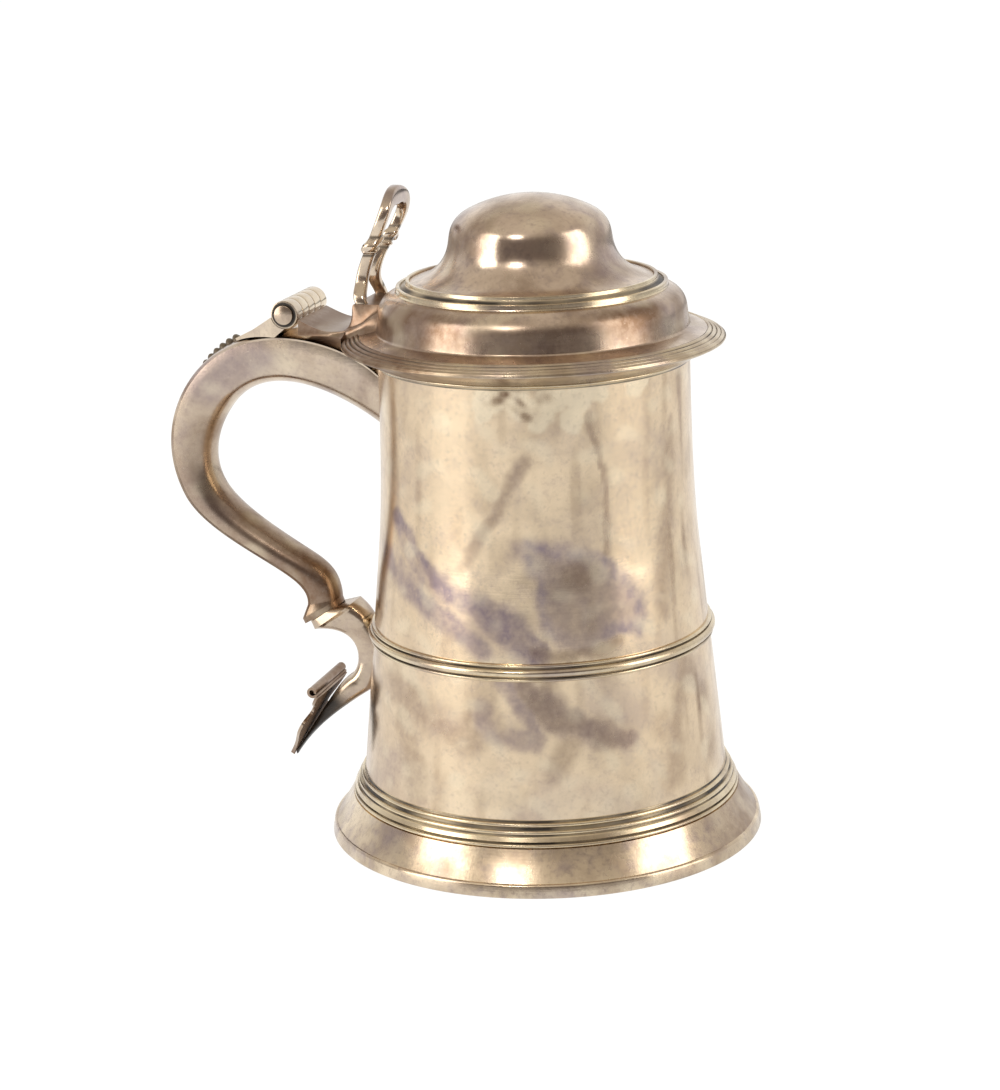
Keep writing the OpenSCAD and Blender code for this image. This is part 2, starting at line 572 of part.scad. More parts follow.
module girdle() {
    half = girdle_pitch + girdle_edge_r;
    color(bright) rotate_extrude() difference() {
        union() {
            polygon([
                [drum_r(girdle_z + half) - 1, girdle_z + half], [drum_r(girdle_z - half) - 1, girdle_z - half],
                [drum_r(girdle_z - half) + 0.5, girdle_z - half], [drum_r(girdle_z + half) + 0.5, girdle_z + half]]);
            translate([drum_r(girdle_z) + girdle_out, girdle_z]) circle(r = girdle_wire_r);
            for (s = [-1, 1])
                translate([drum_r(girdle_z + s*girdle_pitch) + 0.45, girdle_z + s*girdle_pitch]) circle(r = girdle_edge_r);
        }
        polygon([[0, drum_z], [0, ease_z], [drum_r(ease_z), ease_z], [drum_r(drum_z), drum_z]]);
    }
}

module handle_channel() {
    color(warm) skin(concat(
        [[for (p = channel_ring(0)) on_drum(p)]],
        [for (k = [1:handle_rings]) channel_ring(k/handle_rings*handle_u)],
        lip_rings(channel_section(handle_u))), strip = true);
}

module handle_back() {
    color(warm) skin(concat(
        [[for (p = strip_ring(0)) on_drum(p)]],
        [for (k = [1:handle_rings]) strip_ring(k/handle_rings*handle_u)],
        lip_rings(strip_section(handle_u))), strip = true);
}

// Share of the handle at which the standing leaf ends and the drop begins
standing_u0 = 0.525;
standing_u1 = standing_u0 + standing_l/77;
function on_back(u, h) = chain(back_line, u) + (handle_crown + film + h)*unit(chain(back_line, u) - chain(inner_line, u));

module handle_drop_ornament() {
    rings = 6*drop_beads;
    u0 = standing_u1 + 0.012;
    run = 0.24;
    color(dusky) skin([for (k = [0:rings])
        let (s = k/rings, u = u0 + run*s, notch = abs(sin(180*drop_beads*s)),
            w = drop_w/2*(1 - 0.7*s)*(0.45 + 0.55*notch), h = drop_h*(1 - 0.5*s)*(0.35 + 0.65*notch))
        [for (q = [[0, -1], [0, 1], [0.75, 0.6], [1, 0], [0.75, -0.6]]) placed(on_back(u, q[0]*h), q[1]*w)]]);
}

module handle_scroll() {
    color(warm) skin(concat(
        [scroll_between(scroll_top[0], scroll_top[1], lip_flare*0.9)],
        [for (k = [0:scroll_rings]) scroll_ring(k/scroll_rings*scroll_u)]));
}

module terminal_heart() {
    // Half outline down the plate: rolled edge, neck, lobe and point
    edge = roll_half;
    neck = heart_neck_half;
    lobe = heart_lobe_half;
    half = [[edge, 0.02], [0.957*edge, 0.21], [neck, 0.193], [neck, 0.302],
        [neck, 0.386], [lobe, 0.358], [lobe, 0.456], [lobe, 0.614], [0.35*lobe, 0.7], [0, 1]];
    outline = [for (k = [0:24]) let (p = chain(half, k/8)) [p[0], p[1]*heart_l]];
    color(dusky) translate(placed(heart_top, 0)) rotate([0, heart_lean - 90, 0]) rotate([0, 0, 90])
        linear_extrude(heart_t, center = true)
            polygon(concat(outline, [for (p = reversed(outline)) [-p[0], p[1]]]));
    color(dusky) translate(placed(roll, 0)) rotate([90, 0, 0]) difference() {
        cylinder(r = roll_r, h = 2*roll_half, center = true);
        cylinder(r = roll_r - heart_t, h = 2*roll_half + 2, center = true);
    }
}

module standing_leaf() {
    under = [for (k = [0:8]) on_back(standing_u1 - (standing_u1 - standing_u0)*k/8, 0)];
    tip = on_back(standing_u1, 0.8);
    start = hinge + barrel_r*[1.07, -0.24];
    side = concat(under, [[hinge[0], hinge[1] - barrel_r], hinge, start, (start + tip)/2 - [0, 0.1*barrel_r], tip]);
    plan = [[hinge[0] - 1, barrel_l/2], [hinge[0] + barrel_r, barrel_l/2], [tip[0] + 2, 0.9*drop_w]];
    color(bright) difference() {
        intersection() {
            rotate([90, 0, 0]) mirror([1, 0, 0]) linear_extrude(barrel_l, center = true) polygon(side);
            mirror([1, 0, 0]) translate([0, 0, hinge[1] - 30]) linear_extrude(60)
                polygon(concat(plan, [for (p = reversed(plan)) [p[0], -p[1]]]));
        }
        knuckle_cuts(0);
    }
}

module fixed_knuckles() { color(bright) knuckles(0); }

module hinge_pin() {
    color(dusky) translate(placed(hinge, 0)) rotate([90, 0, 0]) cylinder(r = pin_r, h = barrel_l, center = true);
}

module hinge_end_caps() {
    for (s = [-1, 1])
        color(bright) translate(placed(hinge, s*barrel_l/2)) rotate([-s*90, 0, 0]) cylinder(r = cap_r, h = cap_t);
}

module lid_shell() {
    color(bright) turned(concat(lid_line, [for (p = reversed(beside(lid_line, -lid_t))) [max(0, p[0]), p[1]]]));
}

module lid_step_moulding() {
    a = [ledge_r, ledge_z];
    b = [step_r, step_z];
    color(warm) turned([
        a, a + [0, fillet_h], a + [1, fillet_h], a + [1, -0.35],
        a + [1.7, -0.95], b + [-1.5, 1.45], b + [-1.5, 1.2 + fillet_h], b + [-0.3, 1.2 + fillet_h], b + [-0.3, 0.55], b]);
}

module lid_rim_moulding() {
    rest_z = mouth_z + lid_gap;
    seam = lid_t*flange_skew + film;
    under_t = 1.4;
    in_r = drum_mouth_r - 0.3;
    lap_r = reed_in_r - 1.6;
    foot_z = rest_z + under_t;
    color(warm) rotate_extrude() {
        polygon([
            [in_r, rest_z], [drum_mouth_r + lip_out + 0.6, rest_z], [rim_r - 4.3, rim_z - 2.3], [rim_r - 0.6, rim_z - 0.9],
            [rim_r, rim_z - 0.3], [rim_r - 0.2, flange_z(rim_r - 0.2)],
            [reed_in_r, flange_z(reed_in_r)], [reed_in_r, flange_z(reed_in_r) - seam],
            [lap_r, flange_z(lap_r) - seam], [lap_r, flange_z(lap_r) - seam - under_t],
            [rim_r - 4, rim_z - 2.3 + under_t], [drum_mouth_r + lip_out + 0.6, foot_z], [in_r, foot_z]]);
        rim_reeds();
    }
}

module lid_bezel() {
    up_r = shoulder_r - lid_t - film;
    low_z = mouth_z - bezel_depth;
    turn_z = shoulder_z - 3;
    top_z = shoulder_z + 0.7*shoulder_h;
    color(dusky) turned([
        [bezel_r - bezel_t, low_z], [bezel_r, low_z], [bezel_r, turn_z], [up_r, turn_z + 1.5], [up_r, top_z],
        [up_r - bezel_t, top_z], [up_r - bezel_t, turn_z + 1.5], [bezel_r - bezel_t, turn_z]]);
}

module lid_hinge_plate() {
    n = 8*plate_u;
    color(warm) difference() {
        skin([for (k = [0:n]) plate_ring(k/n*plate_u)], strip = true);
        knuckle_cuts(1);
    }
}

module lid_knuckles() { color(bright) knuckles(1); }

module thumbpiece() {
    color(bright) skin(concat(
        [for (k = [0:strap_rings]) strap_ring(1, k/strap_rings*strap_u)],
        [for (k = [strap_rings - 1:-1:0]) [for (p = strap_ring(1, k/strap_rings*strap_u)) [p[0], -p[1], p[2]]]]));
}

foot_rim();
foot_skirt();
foot_collar();
drum();
floor_plate();
lip_wire();
girdle();
handle_channel();
handle_back();
handle_drop_ornament();
handle_scroll();
terminal_heart();
standing_leaf();
fixed_knuckles();
hinge_pin();
hinge_end_caps();
lid_shell();
lid_step_moulding();
lid_rim_moulding();
lid_bezel();
lid_hinge_plate();
lid_knuckles();
thumbpiece();
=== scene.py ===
"""Lidded silver tankard: raised drum and lid, drawn mouldings, hollow scroll handle, cast hinge.

Lengths in the shape functions are millimetres in the CAD frame: +Z up, handle along -X.
A side view point is (distance from the axis, height). Meshes are stored in metres.
"""
import math

import bpy
import numpy as np
from mathutils import Matrix, Vector


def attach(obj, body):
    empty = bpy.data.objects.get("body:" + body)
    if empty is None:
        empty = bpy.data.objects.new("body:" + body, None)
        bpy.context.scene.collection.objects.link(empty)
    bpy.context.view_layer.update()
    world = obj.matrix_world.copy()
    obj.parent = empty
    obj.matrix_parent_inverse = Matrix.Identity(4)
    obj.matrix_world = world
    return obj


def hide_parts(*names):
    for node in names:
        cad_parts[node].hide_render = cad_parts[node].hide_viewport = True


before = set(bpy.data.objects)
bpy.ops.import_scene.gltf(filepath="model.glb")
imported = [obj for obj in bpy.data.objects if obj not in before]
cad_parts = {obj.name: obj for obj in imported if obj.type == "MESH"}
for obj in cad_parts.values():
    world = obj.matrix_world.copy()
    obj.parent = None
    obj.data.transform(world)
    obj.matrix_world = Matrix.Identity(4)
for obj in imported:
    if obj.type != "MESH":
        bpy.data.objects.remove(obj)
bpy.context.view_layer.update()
MM = 0.001
WAVES = 14


# Curves

def unit(v):
    """Vectors divided by their lengths."""
    return v/np.linalg.norm(v, axis=-1, keepdims=True)


def cubic(points, u):
    """Chain of cubic Bezier curves; every third point lies on it, u counts the curves."""
    p = np.asarray(points, float)
    u = np.asarray(u, float)
    i = np.clip(np.floor(u).astype(int), 0, (len(p) - 1)//3 - 1)
    t = (u - i)[:, None]
    a, b, c, d = (p[3*i + k] for k in range(4))
    return (1 - t)**3*a + 3*t*(1 - t)**2*b + 3*t*t*(1 - t)*c + t**3*d


def bow(a, b, c, n):
    """Quadratic Bezier curve from a to c, pulled towards b."""
    t = np.linspace(0, 1, n)[:, None]
    return (1 - t)**2*np.array(a) + 2*t*(1 - t)*np.array(b) + t*t*np.array(c)


def arc(centre, r, a0, a1, n):
    """Circular arc between two angles in degrees."""
    a = np.radians(np.linspace(a0, a1, n))
    return np.array(centre) + r*np.column_stack([np.cos(a), np.sin(a)])


def squared(v, power):
    """Sines or cosines with sign kept and size raised to a power below 1, which squares a circle."""
    return np.sign(v)*np.abs(v)**power


def softened(points, r, n=4):
    """Closed outline whose every corner becomes a short quadratic curve, at most r long each way."""
    p = np.asarray(points, float)
    before, after = np.roll(p, 1, 0) - p, np.roll(p, -1, 0) - p
    la, lb = np.linalg.norm(before, axis=1), np.linalg.norm(after, axis=1)
    a = p + before*(np.minimum(r, 0.4*la)/la)[:, None]
    b = p + after*(np.minimum(r, 0.4*lb)/lb)[:, None]
    t = np.linspace(0, 1, n)[None, :, None]
    return ((1 - t)**2*a[:, None] + 2*t*(1 - t)*p[:, None] + t*t*b[:, None]).reshape(-1, 2)


def resampled(points, step):
    """Open line with points about step apart, evenly along it."""
    p = np.asarray(points, float)
    length = np.concatenate([[0], np.cumsum(np.linalg.norm(np.diff(p, axis=0), axis=1))])
    even = np.linspace(0, length[-1], int(length[-1]/step) + 2)
    return np.column_stack([np.interp(even, length, p[:, k]) for k in range(p.shape[1])])


def evened(points, reach):
    """Open line whose inner points become the mean of up to reach neighbours each way, ends kept."""
    i = np.arange(len(points))
    near = np.minimum(np.minimum(i, len(points) - 1 - i), reach)
    total = np.vstack([[0, 0], np.cumsum(points, 0)])
    return (total[i + near + 1] - total[i - near])/(2*near + 1)[:, None]


def beside(p, d):
    """Line moved by d to its right."""
    along = unit(np.gradient(p, axis=0))
    return p + d*np.column_stack([along[:, 1], -along[:, 0]])


def smooth(x, lo, hi):
    """Smooth step from 0 at lo to 1 at hi."""
    t = np.clip((x - lo)/(hi - lo), 0, 1)
    return t*t*(3 - 2*t)


def ripple(p, size, seed):
    """Soft noise of about -1 to 1: 2.2 times the mean of scattered sine waves about size mm long."""
    rng = np.random.default_rng(seed)
    k = rng.normal(size=(WAVES, 3))
    k *= (2*np.pi/size*rng.uniform(0.6, 1.7, WAVES)/np.linalg.norm(k, axis=1))[:, None]
    return np.sin(p @ k.T + rng.uniform(0, 2*np.pi, WAVES)).mean(-1)*2.2


# Meshes

def grid_quads(rows, cols):
    """Quads of a grid of rows x cols points whose columns close into a ring."""
    i, j = np.meshgrid(np.arange(rows - 1), np.arange(cols), indexing="ij")
    a, b = i*cols + j, i*cols + (j + 1) % cols
    return np.stack([a, b, b + cols, a + cols], -1).reshape(-1, 4)


def ring_quads(rows, cols):
    """Quads of a grid whose rows and columns both close into rings."""
    i, j = np.meshgrid(np.arange(rows), np.arange(cols), indexing="ij")
    k, m = (i + 1) % rows, (j + 1) % cols
    return np.stack([i*cols + j, i*cols + m, k*cols + m, k*cols + j], -1).reshape(-1, 4)


def revolved(profile, around):
    """Closed profile (radius, height) turned about Z."""
    a = np.linspace(0, 2*np.pi, around, endpoint=False)
    r = np.maximum(profile[:, :1], 0.001)
    p = np.stack([r*np.cos(a), r*np.sin(a), np.repeat(profile[:, 1:], around, 1)], -1)
    return p.reshape(-1, 3), ring_quads(len(profile), around), []


def skinned(rings):
    """Solid skinned over rings of points (rings, around, 3), closed by a face at each end."""
    m, n = rings.shape[:2]
    return rings.reshape(-1, 3), grid_quads(m, n), [np.arange(n)[::-1], np.arange((m - 1)*n, m*n)]


def placed(side, y):
    """Side view points (distance from the axis, height) at sideways distances y, in the CAD frame."""
    return np.stack([-side[..., 0], np.broadcast_to(y, side[..., 0].shape), side[..., 1]], -1)


def joined(*shapes):
    """Several shapes (points, quads, caps) as one."""
    starts = np.cumsum([0] + [len(shape[0]) for shape in shapes])
    return (np.vstack([shape[0] for shape in shapes]),
            np.vstack([shape[1] + k for shape, k in zip(shapes, starts)]),
            [cap + k for shape, k in zip(shapes, starts) for cap in shape[2]])


def piece(name, shape, body, finish, tarnish, patina_and_shade=None, sharp=32):
    """One mesh object of a shape in mm, turned right side out, in place of the CAD node of its name.

    Tarnish holds a point's weights of violet, brown and pale film, patina its black crust in hollows and
    its painted shade.
    """
    points, quads, caps = shape
    a, b, c, d = (points[quads[:, k]] for k in range(4))
    volume = np.einsum("ij,ij->i", a, np.cross(b, c)) + np.einsum("ij,ij->i", a, np.cross(c, d))
    turn = -1 if volume.sum() < 0 else 1
    mesh = bpy.data.meshes.new(name)
    faces = quads[:, ::turn].tolist() + [cap[::turn].tolist() for cap in caps]
    mesh.from_pydata((points*MM).tolist(), [], faces)
    film = np.ones((len(points), 4), np.float32)
    film[:, :3] = tarnish
    mesh.attributes.new("tarnish", "FLOAT_COLOR", "POINT").data.foreach_set("color", film.ravel())
    if patina_and_shade is not None:
        dark_crust_and_shade = np.ascontiguousarray(patina_and_shade, np.float32)
        mesh.attributes.new("patina_and_shade", "FLOAT", "POINT").data.foreach_set("value", dark_crust_and_shade)
    mesh.materials.append(finish)
    mesh.shade_smooth()
    mesh.set_sharp_from_angle(angle=math.radians(sharp))
    made = bpy.data.objects.new(name, mesh)
    bpy.context.scene.collection.objects.link(made)
    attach(made, body)
    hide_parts(name)
    return made


def second_finish(made, finish, chosen):
    """Gives the chosen faces of a piece another finish."""
    made.data.materials.append(finish)
    made.data.polygons.foreach_set("material_index", chosen.astype(np.int32))


def hollows(profile, reach=1.2):
    """Patina of a closed profile: 1 deep in a groove, 0 on a ridge, by each point's depth under
    the mean of its neighbours."""
    p = np.asarray(profile)
    d = np.linalg.norm(p[:, None] - p[None], axis=2)
    w = np.exp(-(d/reach)**2)
    mean = (w[:, :, None]*p[None]).sum(1)/w.sum(1)[:, None]
    along = np.roll(p, -1, 0) - np.roll(p, 1, 0)
    area = (p[:, 0]*np.roll(p[:, 1], -1) - np.roll(p[:, 0], -1)*p[:, 1]).sum()
    out = np.column_stack([along[:, 1], -along[:, 0]])*np.sign(area)
    out /= np.linalg.norm(out, axis=1)[:, None] + 1e-9
    return smooth(((mean - p)*out).sum(1), 0.02, 0.16)


# Finishes

def linear(hex_colour):
    """sRGB hex value as linear RGBA."""
    v = np.array([int(hex_colour[k:k + 2], 16) for k in (1, 3, 5)])/255
    v = np.where(v <= 0.04045, v/12.92, ((v + 0.055)/1.055)**2.4)
    return (*v.tolist(), 1.0)


def emptied(owner):
    """Node tree of a material or world, switched on and cleared."""
    owner.use_nodes = True
    owner.node_tree.nodes.clear()
    return owner.node_tree


def node(tree, kind, inputs=None, **settings):
    """Adds a node, sets its properties and sockets; an input that is a socket is linked."""
    made = tree.nodes.new(kind)
    for key, value in settings.items():
        setattr(made, key, value)
    for key, value in (inputs or {}).items():
        if isinstance(value, bpy.types.NodeSocket):
            tree.links.new(value, made.inputs[key])
        else:
            made.inputs[key].default_value = value
    return made


def noise(tree, place, size, detail=4.0, rough=0.5):
    """Noise whose features are about size metres across."""
    inputs = {"Vector": place, "Scale": 1/size, "Detail": detail, "Roughness": rough}
    return node(tree, "ShaderNodeTexNoise", inputs).outputs["Fac"]


def ranged(tree, value, low, high, least=0.0, most=1.0, **settings):
    """Value mapped from low..high to least..most and held between them."""
    inputs = {"Value": value, "From Min": low, "From Max": high, "To Min": least, "To Max": most}
    return node(tree, "ShaderNodeMapRange", inputs, **settings).outputs["Result"]


def maths(tree, operation, a, b):
    """Sum or product of two values."""
    return node(tree, "ShaderNodeMath", {0: a, 1: b}, operation=operation).outputs["Value"]


def vector_maths(tree, operation, a, b=(0, 0, 0), result="Value"):
    """Dot product, length or direction of vectors."""
    return node(tree, "ShaderNodeVectorMath", {0: a, 1: b}, operation=operation).outputs[result]


def layered(tree, colour, layers):
    """Colour with further ones mixed over it in turn, each (share, hex value)."""
    for share, tone in layers:
        inputs = {"Factor": share, "A": colour, "B": linear(tone)}
        colour = node(tree, "ShaderNodeMix", inputs, data_type="RGBA").outputs["Result"]
    return colour


def silver(name, clean, rough, mottle, wear, metal=1.0):
    """Sterling silver that has been polished for two centuries and left to tarnish: warm sulphide film
    in soft clouds, violet and brown where it is thick, dark in hollows and in painted shade, fine
    scratches."""
    mat = bpy.data.materials.new(name)
    tree = emptied(mat)
    place = node(tree, "ShaderNodeTexCoord").outputs["Object"]
    film = node(tree, "ShaderNodeAttribute", attribute_name="tarnish").outputs["Color"]
    part = node(tree, "ShaderNodeSeparateColor", {"Color": film}).outputs
    # Patina weights: black crust in hollows, and painted shade on the scroll near the plate and on the
    # knuckle ends
    crust_and_shade = node(tree, "ShaderNodeAttribute", attribute_name="patina_and_shade").outputs["Fac"]
    # Clouds of film about 16 mm across, blotches of 6 mm, grains of 1.5 mm, bright specks of 0.8 mm
    haze = ranged(tree, noise(tree, place, 0.016, rough=0.6), 0.40, 0.70, most=mottle)
    mauve = ranged(tree, noise(tree, place, 0.006, rough=0.6), 0.48, 0.75, most=0.8*mottle)
    grain = ranged(tree, noise(tree, place, 0.0015, rough=0.6), 0.52, 0.80, most=0.35*wear)
    speck = ranged(tree, noise(tree, place, 0.0008, rough=0.6), 0.68, 0.76, most=0.5*wear)
    # The film itself is uneven over 2.5 mm
    uneven = ranged(tree, noise(tree, place, 0.0025, rough=0.7), 0.35, 0.65, 0.82, 1.15)
    violet = maths(tree, "MULTIPLY", part["Red"], uneven)
    brown = maths(tree, "MULTIPLY", part["Green"], uneven)
    colour = layered(tree, linear(clean), (
        (haze, "#b3a08a"), (mauve, "#a59596"), (violet, "#92838c"), (brown, "#866c57"),
        (part["Blue"], "#f6e8cb"), (grain, "#97867a"), (speck, "#fdf3e0"), (crust_and_shade, "#2e2720")))
    dull = maths(tree, "ADD", maths(tree, "ADD", haze, part["Green"]), crust_and_shade)
    gloss = ranged(tree, dull, 0.0, 1.6, rough, rough + 0.30)
    # The black crust in hollows is a dull mineral, so the metal fades out under it; it fades the same
    # way under the painted shade
    bare = ranged(tree, crust_and_shade, 0.0, 1.0, metal, 0.1*metal)
    # Rubbed scratches: noise drawn out more than ten times along Z, crossed by one drawn out sideways
    upright, level = (1/0.0008, 1/0.0008, 1/0.010), (1/0.009, 1/0.009, 1/0.0006)
    rub, turn = (node(tree, "ShaderNodeMapping", {"Vector": place, "Scale": scale}).outputs["Vector"]
                 for scale in (upright, level))
    scratch = maths(tree, "ADD", noise(tree, rub, 1.0, 2.0), noise(tree, turn, 1.0, 2.0))
    fine = node(tree, "ShaderNodeBump", {"Height": scratch, "Strength": 0.05*wear, "Distance": 0.0002})
    # Uneven surface left by the hammer, about 12 mm from hollow to hollow
    bump = node(tree, "ShaderNodeBump", {
        "Height": noise(tree, place, 0.012, 1.0), "Strength": 0.25*wear, "Distance": 0.0006,
        "Normal": fine.outputs["Normal"]})
    shader = node(tree, "ShaderNodeBsdfPrincipled", {
        "Base Color": colour, "Metallic": bare, "Roughness": gloss, "Normal": bump.outputs["Normal"]})
    node(tree, "ShaderNodeOutputMaterial", {"Surface": shader.outputs["BSDF"]})
    return mat


# Drum and bezel: a worn polish under thin film, so the lamps show as broad soft stripes
RAISED = silver("raised sterling sheet, tarnished", "#f1dab9", 0.16, 0.32, 0.7)
# Mouldings: slightly duller and yellower, with bright ridges between nearly black hollows
DRAWN = silver("drawn sterling moulding, patinated", "#e8d7b6", 0.20, 0.45, 0.8)
# Handle, hinge and thumbpiece: the sharpest mirror of the room, broken by mauve clouds
CAST = silver("cast sterling, worn smooth", "#e5d3bb", 0.13, 0.50, 0.8)
# Lid: thick film and strong hammer marks, so its reflections waver and turn mauve and brown
LID = silver("raised sterling lid, deep tarnish", "#ecd8c3", 0.15, 0.75, 1.2)
# Foot: mottled and dulled by handling, with blurred reflections of the paper
DULL = silver("raised sterling foot, rubbed dull", "#e9d6ba", 0.17, 0.85, 1.2)
# Inside of drum and floor: light bounces there many times, so it has the metal's near-neutral white
INSIDE = silver("raised sterling, clean inside", "#f0ebe2", 0.24, 0.20, 0.6)
# Back of the heart-shaped plate, facing the drum: matt and almost black, with no mirror left; partly
# sulphide crust, partly painted shade
CRUST_AND_SHADE = silver("blackened sterling, sulphide crust and painted shade", "#544c3f", 0.70, 0.50, 1.0, metal=0.0)


def clouded(p, seed, violet=0.45, brown=0.35, pale=0.25):
    """Tarnish weights (violet, brown, pale) in soft clouds 14 to 32 mm across."""
    v = smooth(ripple(p, 32, seed), 0.05, 0.9)*violet
    b = smooth(ripple(p, 20, seed + 1), 0.05, 0.9)*brown
    w = smooth(ripple(p, 14, seed + 2), 0.1, 0.9)*pale
    return np.column_stack([v, b, w])


def turned_piece(name, profile, body, finish, seed, around=320, groove=1.0, tarnish=None):
    """One turned piece with clouds of tarnish and patina in the hollows of its profile."""
    shape = revolved(profile, around)
    points = shape[0]
    patchy = np.clip(0.8 + 0.45*ripple(points, 18, seed + 7), 0.35, 1.0)
    dark_crust_and_shade = np.repeat(hollows(profile), around)*groove*patchy
    film = clouded(points, seed) if tarnish is None else tarnish(points)
    return piece(name, shape, body, finish, film, dark_crust_and_shade)


def skin_piece(name, rings, body, finish, seed, sharp, patina_and_shade=None,
               film=(0.5, 0.5, 0.15), base=(0.1, 0.25, 0)):
    """One skinned piece with clouds of tarnish over an even film."""
    shape = skinned(rings)
    piece(name, shape, body, finish, clouded(shape[0], seed, *film) + base, patina_and_shade, sharp)


# Marks on the metal

def to_segment(x, z, start, end):
    """Distance from a straight piece of line."""
    (x0, z0), (x1, z1) = start, end
    dx, dz = x1 - x0, z1 - z0
    t = np.clip(((x - x0)*dx + (z - z0)*dz)/(dx**2 + dz**2), 0, 1)
    return np.hypot(x - x0 - t*dx, z - z0 - t*dz)


def smear(x, z, path, half, soft):
    """1 on a broken line on the surface, fading to 0 at half mm from it; soft is the faded share."""
    best = np.minimum.reduce([to_segment(x, z, *ends) for ends in zip(path[:-1], path[1:])])
    return 1 - smooth(best, half*(1 - soft), half)


def belt(z, low, high, half):
    """1 between two heights, fading to 0 at half mm beyond them."""
    return smear(0*z, z, [(0, low), (0, high)], half, 0.9)


def blots(x, z, spots, edge):
    """1 inside any of the discs (distance round, height, radius), fading over edge of the radius."""
    return np.maximum.reduce([1 - smooth(np.hypot(x - a, z - b)/r, 1 - edge, 1) for a, b, r in spots])


def depth_in(x, z, outline):
    """Distance from the nearest edge of a closed outline, counted as negative outside it."""
    best, within = np.full(x.shape, np.inf), np.zeros(x.shape, bool)
    for (x0, z0), (x1, z1) in zip(outline, outline[1:] + outline[:1]):
        best = np.minimum(best, to_segment(x, z, (x0, z0), (x1, z1)))
        across = x0 + (x1 - x0)*(z - z0)/(z1 - z0 + 1e-9)
        within ^= ((z0 > z) != (z1 > z)) & (x < across)
    return np.where(within, best, -best)


def ragged(mask, p, seed, torn=0.35):
    """Mask broken up by noise of 9 and 3 mm; torn is the first one's share."""
    return smooth(mask*(1 + torn*ripple(p, 9, seed) + 0.1*ripple(p, 3, seed + 1)), -0.1, 1.05)


def round_from(p, way, per_degree):
    """Distance round the axis from a direction in degrees, at so many mm per degree."""
    a = np.degrees(np.arctan2(p[:, 1], p[:, 0]))
    return ((a - way + 180) % 360 - 180)*per_degree


def wander(p, *seeds):
    """Shift in mm that makes a drawn line uneven: noise of 15, 6 and 3 mm."""
    waves = zip((1.3, 0.6, 0.3), (15, 6, 3), seeds)
    return sum(share*ripple(p, size, seed) for share, size, seed in waves)


# Drum, floor and foot

DRUM_Z, EASE_Z, MOUTH_Z = 16.0, 92.0, 150.0
BASE_R, EASE_R, MOUTH_R = 56.9, 49.25, 47.3
TAPER = (BASE_R - EASE_R)/(EASE_Z - DRUM_Z)
SHEET, SKIRT_SHEET = 1.0, 1.2
DRUM_AROUND = 380
# Direction of the middle of the oval stain in degrees, and mm per degree round the drum
STAIN_WAY, DRUM_DEGREE = -60, 0.89


def drum_r(z):
    """Outside radius of the drum: a straight taper, then a quadratic curve, upright at the mouth."""
    z = np.clip(np.asarray(z, float), -50, MOUTH_Z)
    mid = EASE_Z + (EASE_R - MOUTH_R)/TAPER
    a, b, c = MOUTH_Z - 2*mid + EASE_Z, 2*(mid - EASE_Z), EASE_Z - z
    t = (-b + np.sqrt(np.maximum(b*b - 4*a*c, 0)))/(2*a)
    eased = (1 - t)**2*EASE_R + (1 - (1 - t)**2)*MOUTH_R
    return np.where(z <= EASE_Z, BASE_R - TAPER*(z - DRUM_Z), eased)


def drum_line(z0, z1, n):
    """Outside of the drum between two heights, as n side view points."""
    z = np.linspace(z0, z1, n)
    return np.column_stack([drum_r(z), z])


# Lines and outlines of the marks: distance round the drum from the stain's middle, height
STAIN = [(-20.2, 103.5), (-13.6, 103.9), (-5.4, 103), (3, 100.6), (10.4, 96.3), (17.5, 90.6),
         (21, 84.8), (21.1, 76.7), (19.8, 71.1), (14, 73.9), (8.6, 71.9), (1.3, 69.4), (-6.6, 72.3),
         (-11.5, 76), (-13.6, 82.8), (-14, 90.8), (-15.6, 97.1), (-20.2, 100.5)]
STREAK = [(-67.7, 105.3), (-59.1, 99.3), (-54, 93.2), (-47.1, 88.6), (-38.4, 85.1), (-29.4, 81.9),
          (-22.3, 77.1), (-14.5, 70.3)]
UNDER_STREAK = [(-73.3, 92.8), (-61.6, 88.3), (-50.1, 83.5), (-42.4, 80), (-35.6, 76.2), (-30.6, 72.7)]
PARTING = [(-62.4, 99.9), (-54.9, 93.1), (-49.4, 86.5), (-40.3, 81.4), (-31.9, 77.1), (-24.7, 71.9)]
CROSS = [(-36.5, 96.2), (-31.9, 102.8), (-26.7, 110), (-22.2, 117), (-19.1, 122.7), (-16, 127)]
RUN = [(4.9, 139), (8.4, 131), (9.8, 123.3), (10.2, 116.4), (11.2, 109.4), (9.8, 102.7), (8.7, 99)]
LOW = [(-18, 62), (-12.6, 56.5), (-8.4, 51.8), (-2, 47.8), (4.5, 45.3), (11.5, 43.6)]
LOW_RING = [(-23.5, 62), (-19.2, 55.4), (-16.6, 52), (-14.8, 46.2), (-14.6, 43.3), (-20.5, 44.5),
            (-26, 45.9), (-29.6, 49.7), (-30.8, 53.6)]
OLIVE = [(-55.2, 53.1), (-47.1, 49), (-38.9, 44.5), (-34, 44)]
LEFT_EDGE = [(-64, 58), (-58, 46), (-54, 36), (-52, 24)]
GOLD = [(-14.5, 70.3), (-6.7, 70), (3.6, 69.1), (11, 70.4)]
FAINT_HIGH = [(39, 132), (35.6, 110), (28.3, 79)]
FAINT_LOW = [(36, 60), (29.3, 40.6), (26.2, 26)]
SMUT = [(-24, 146), (-18, 147), (-15, 143), (-11, 146)]
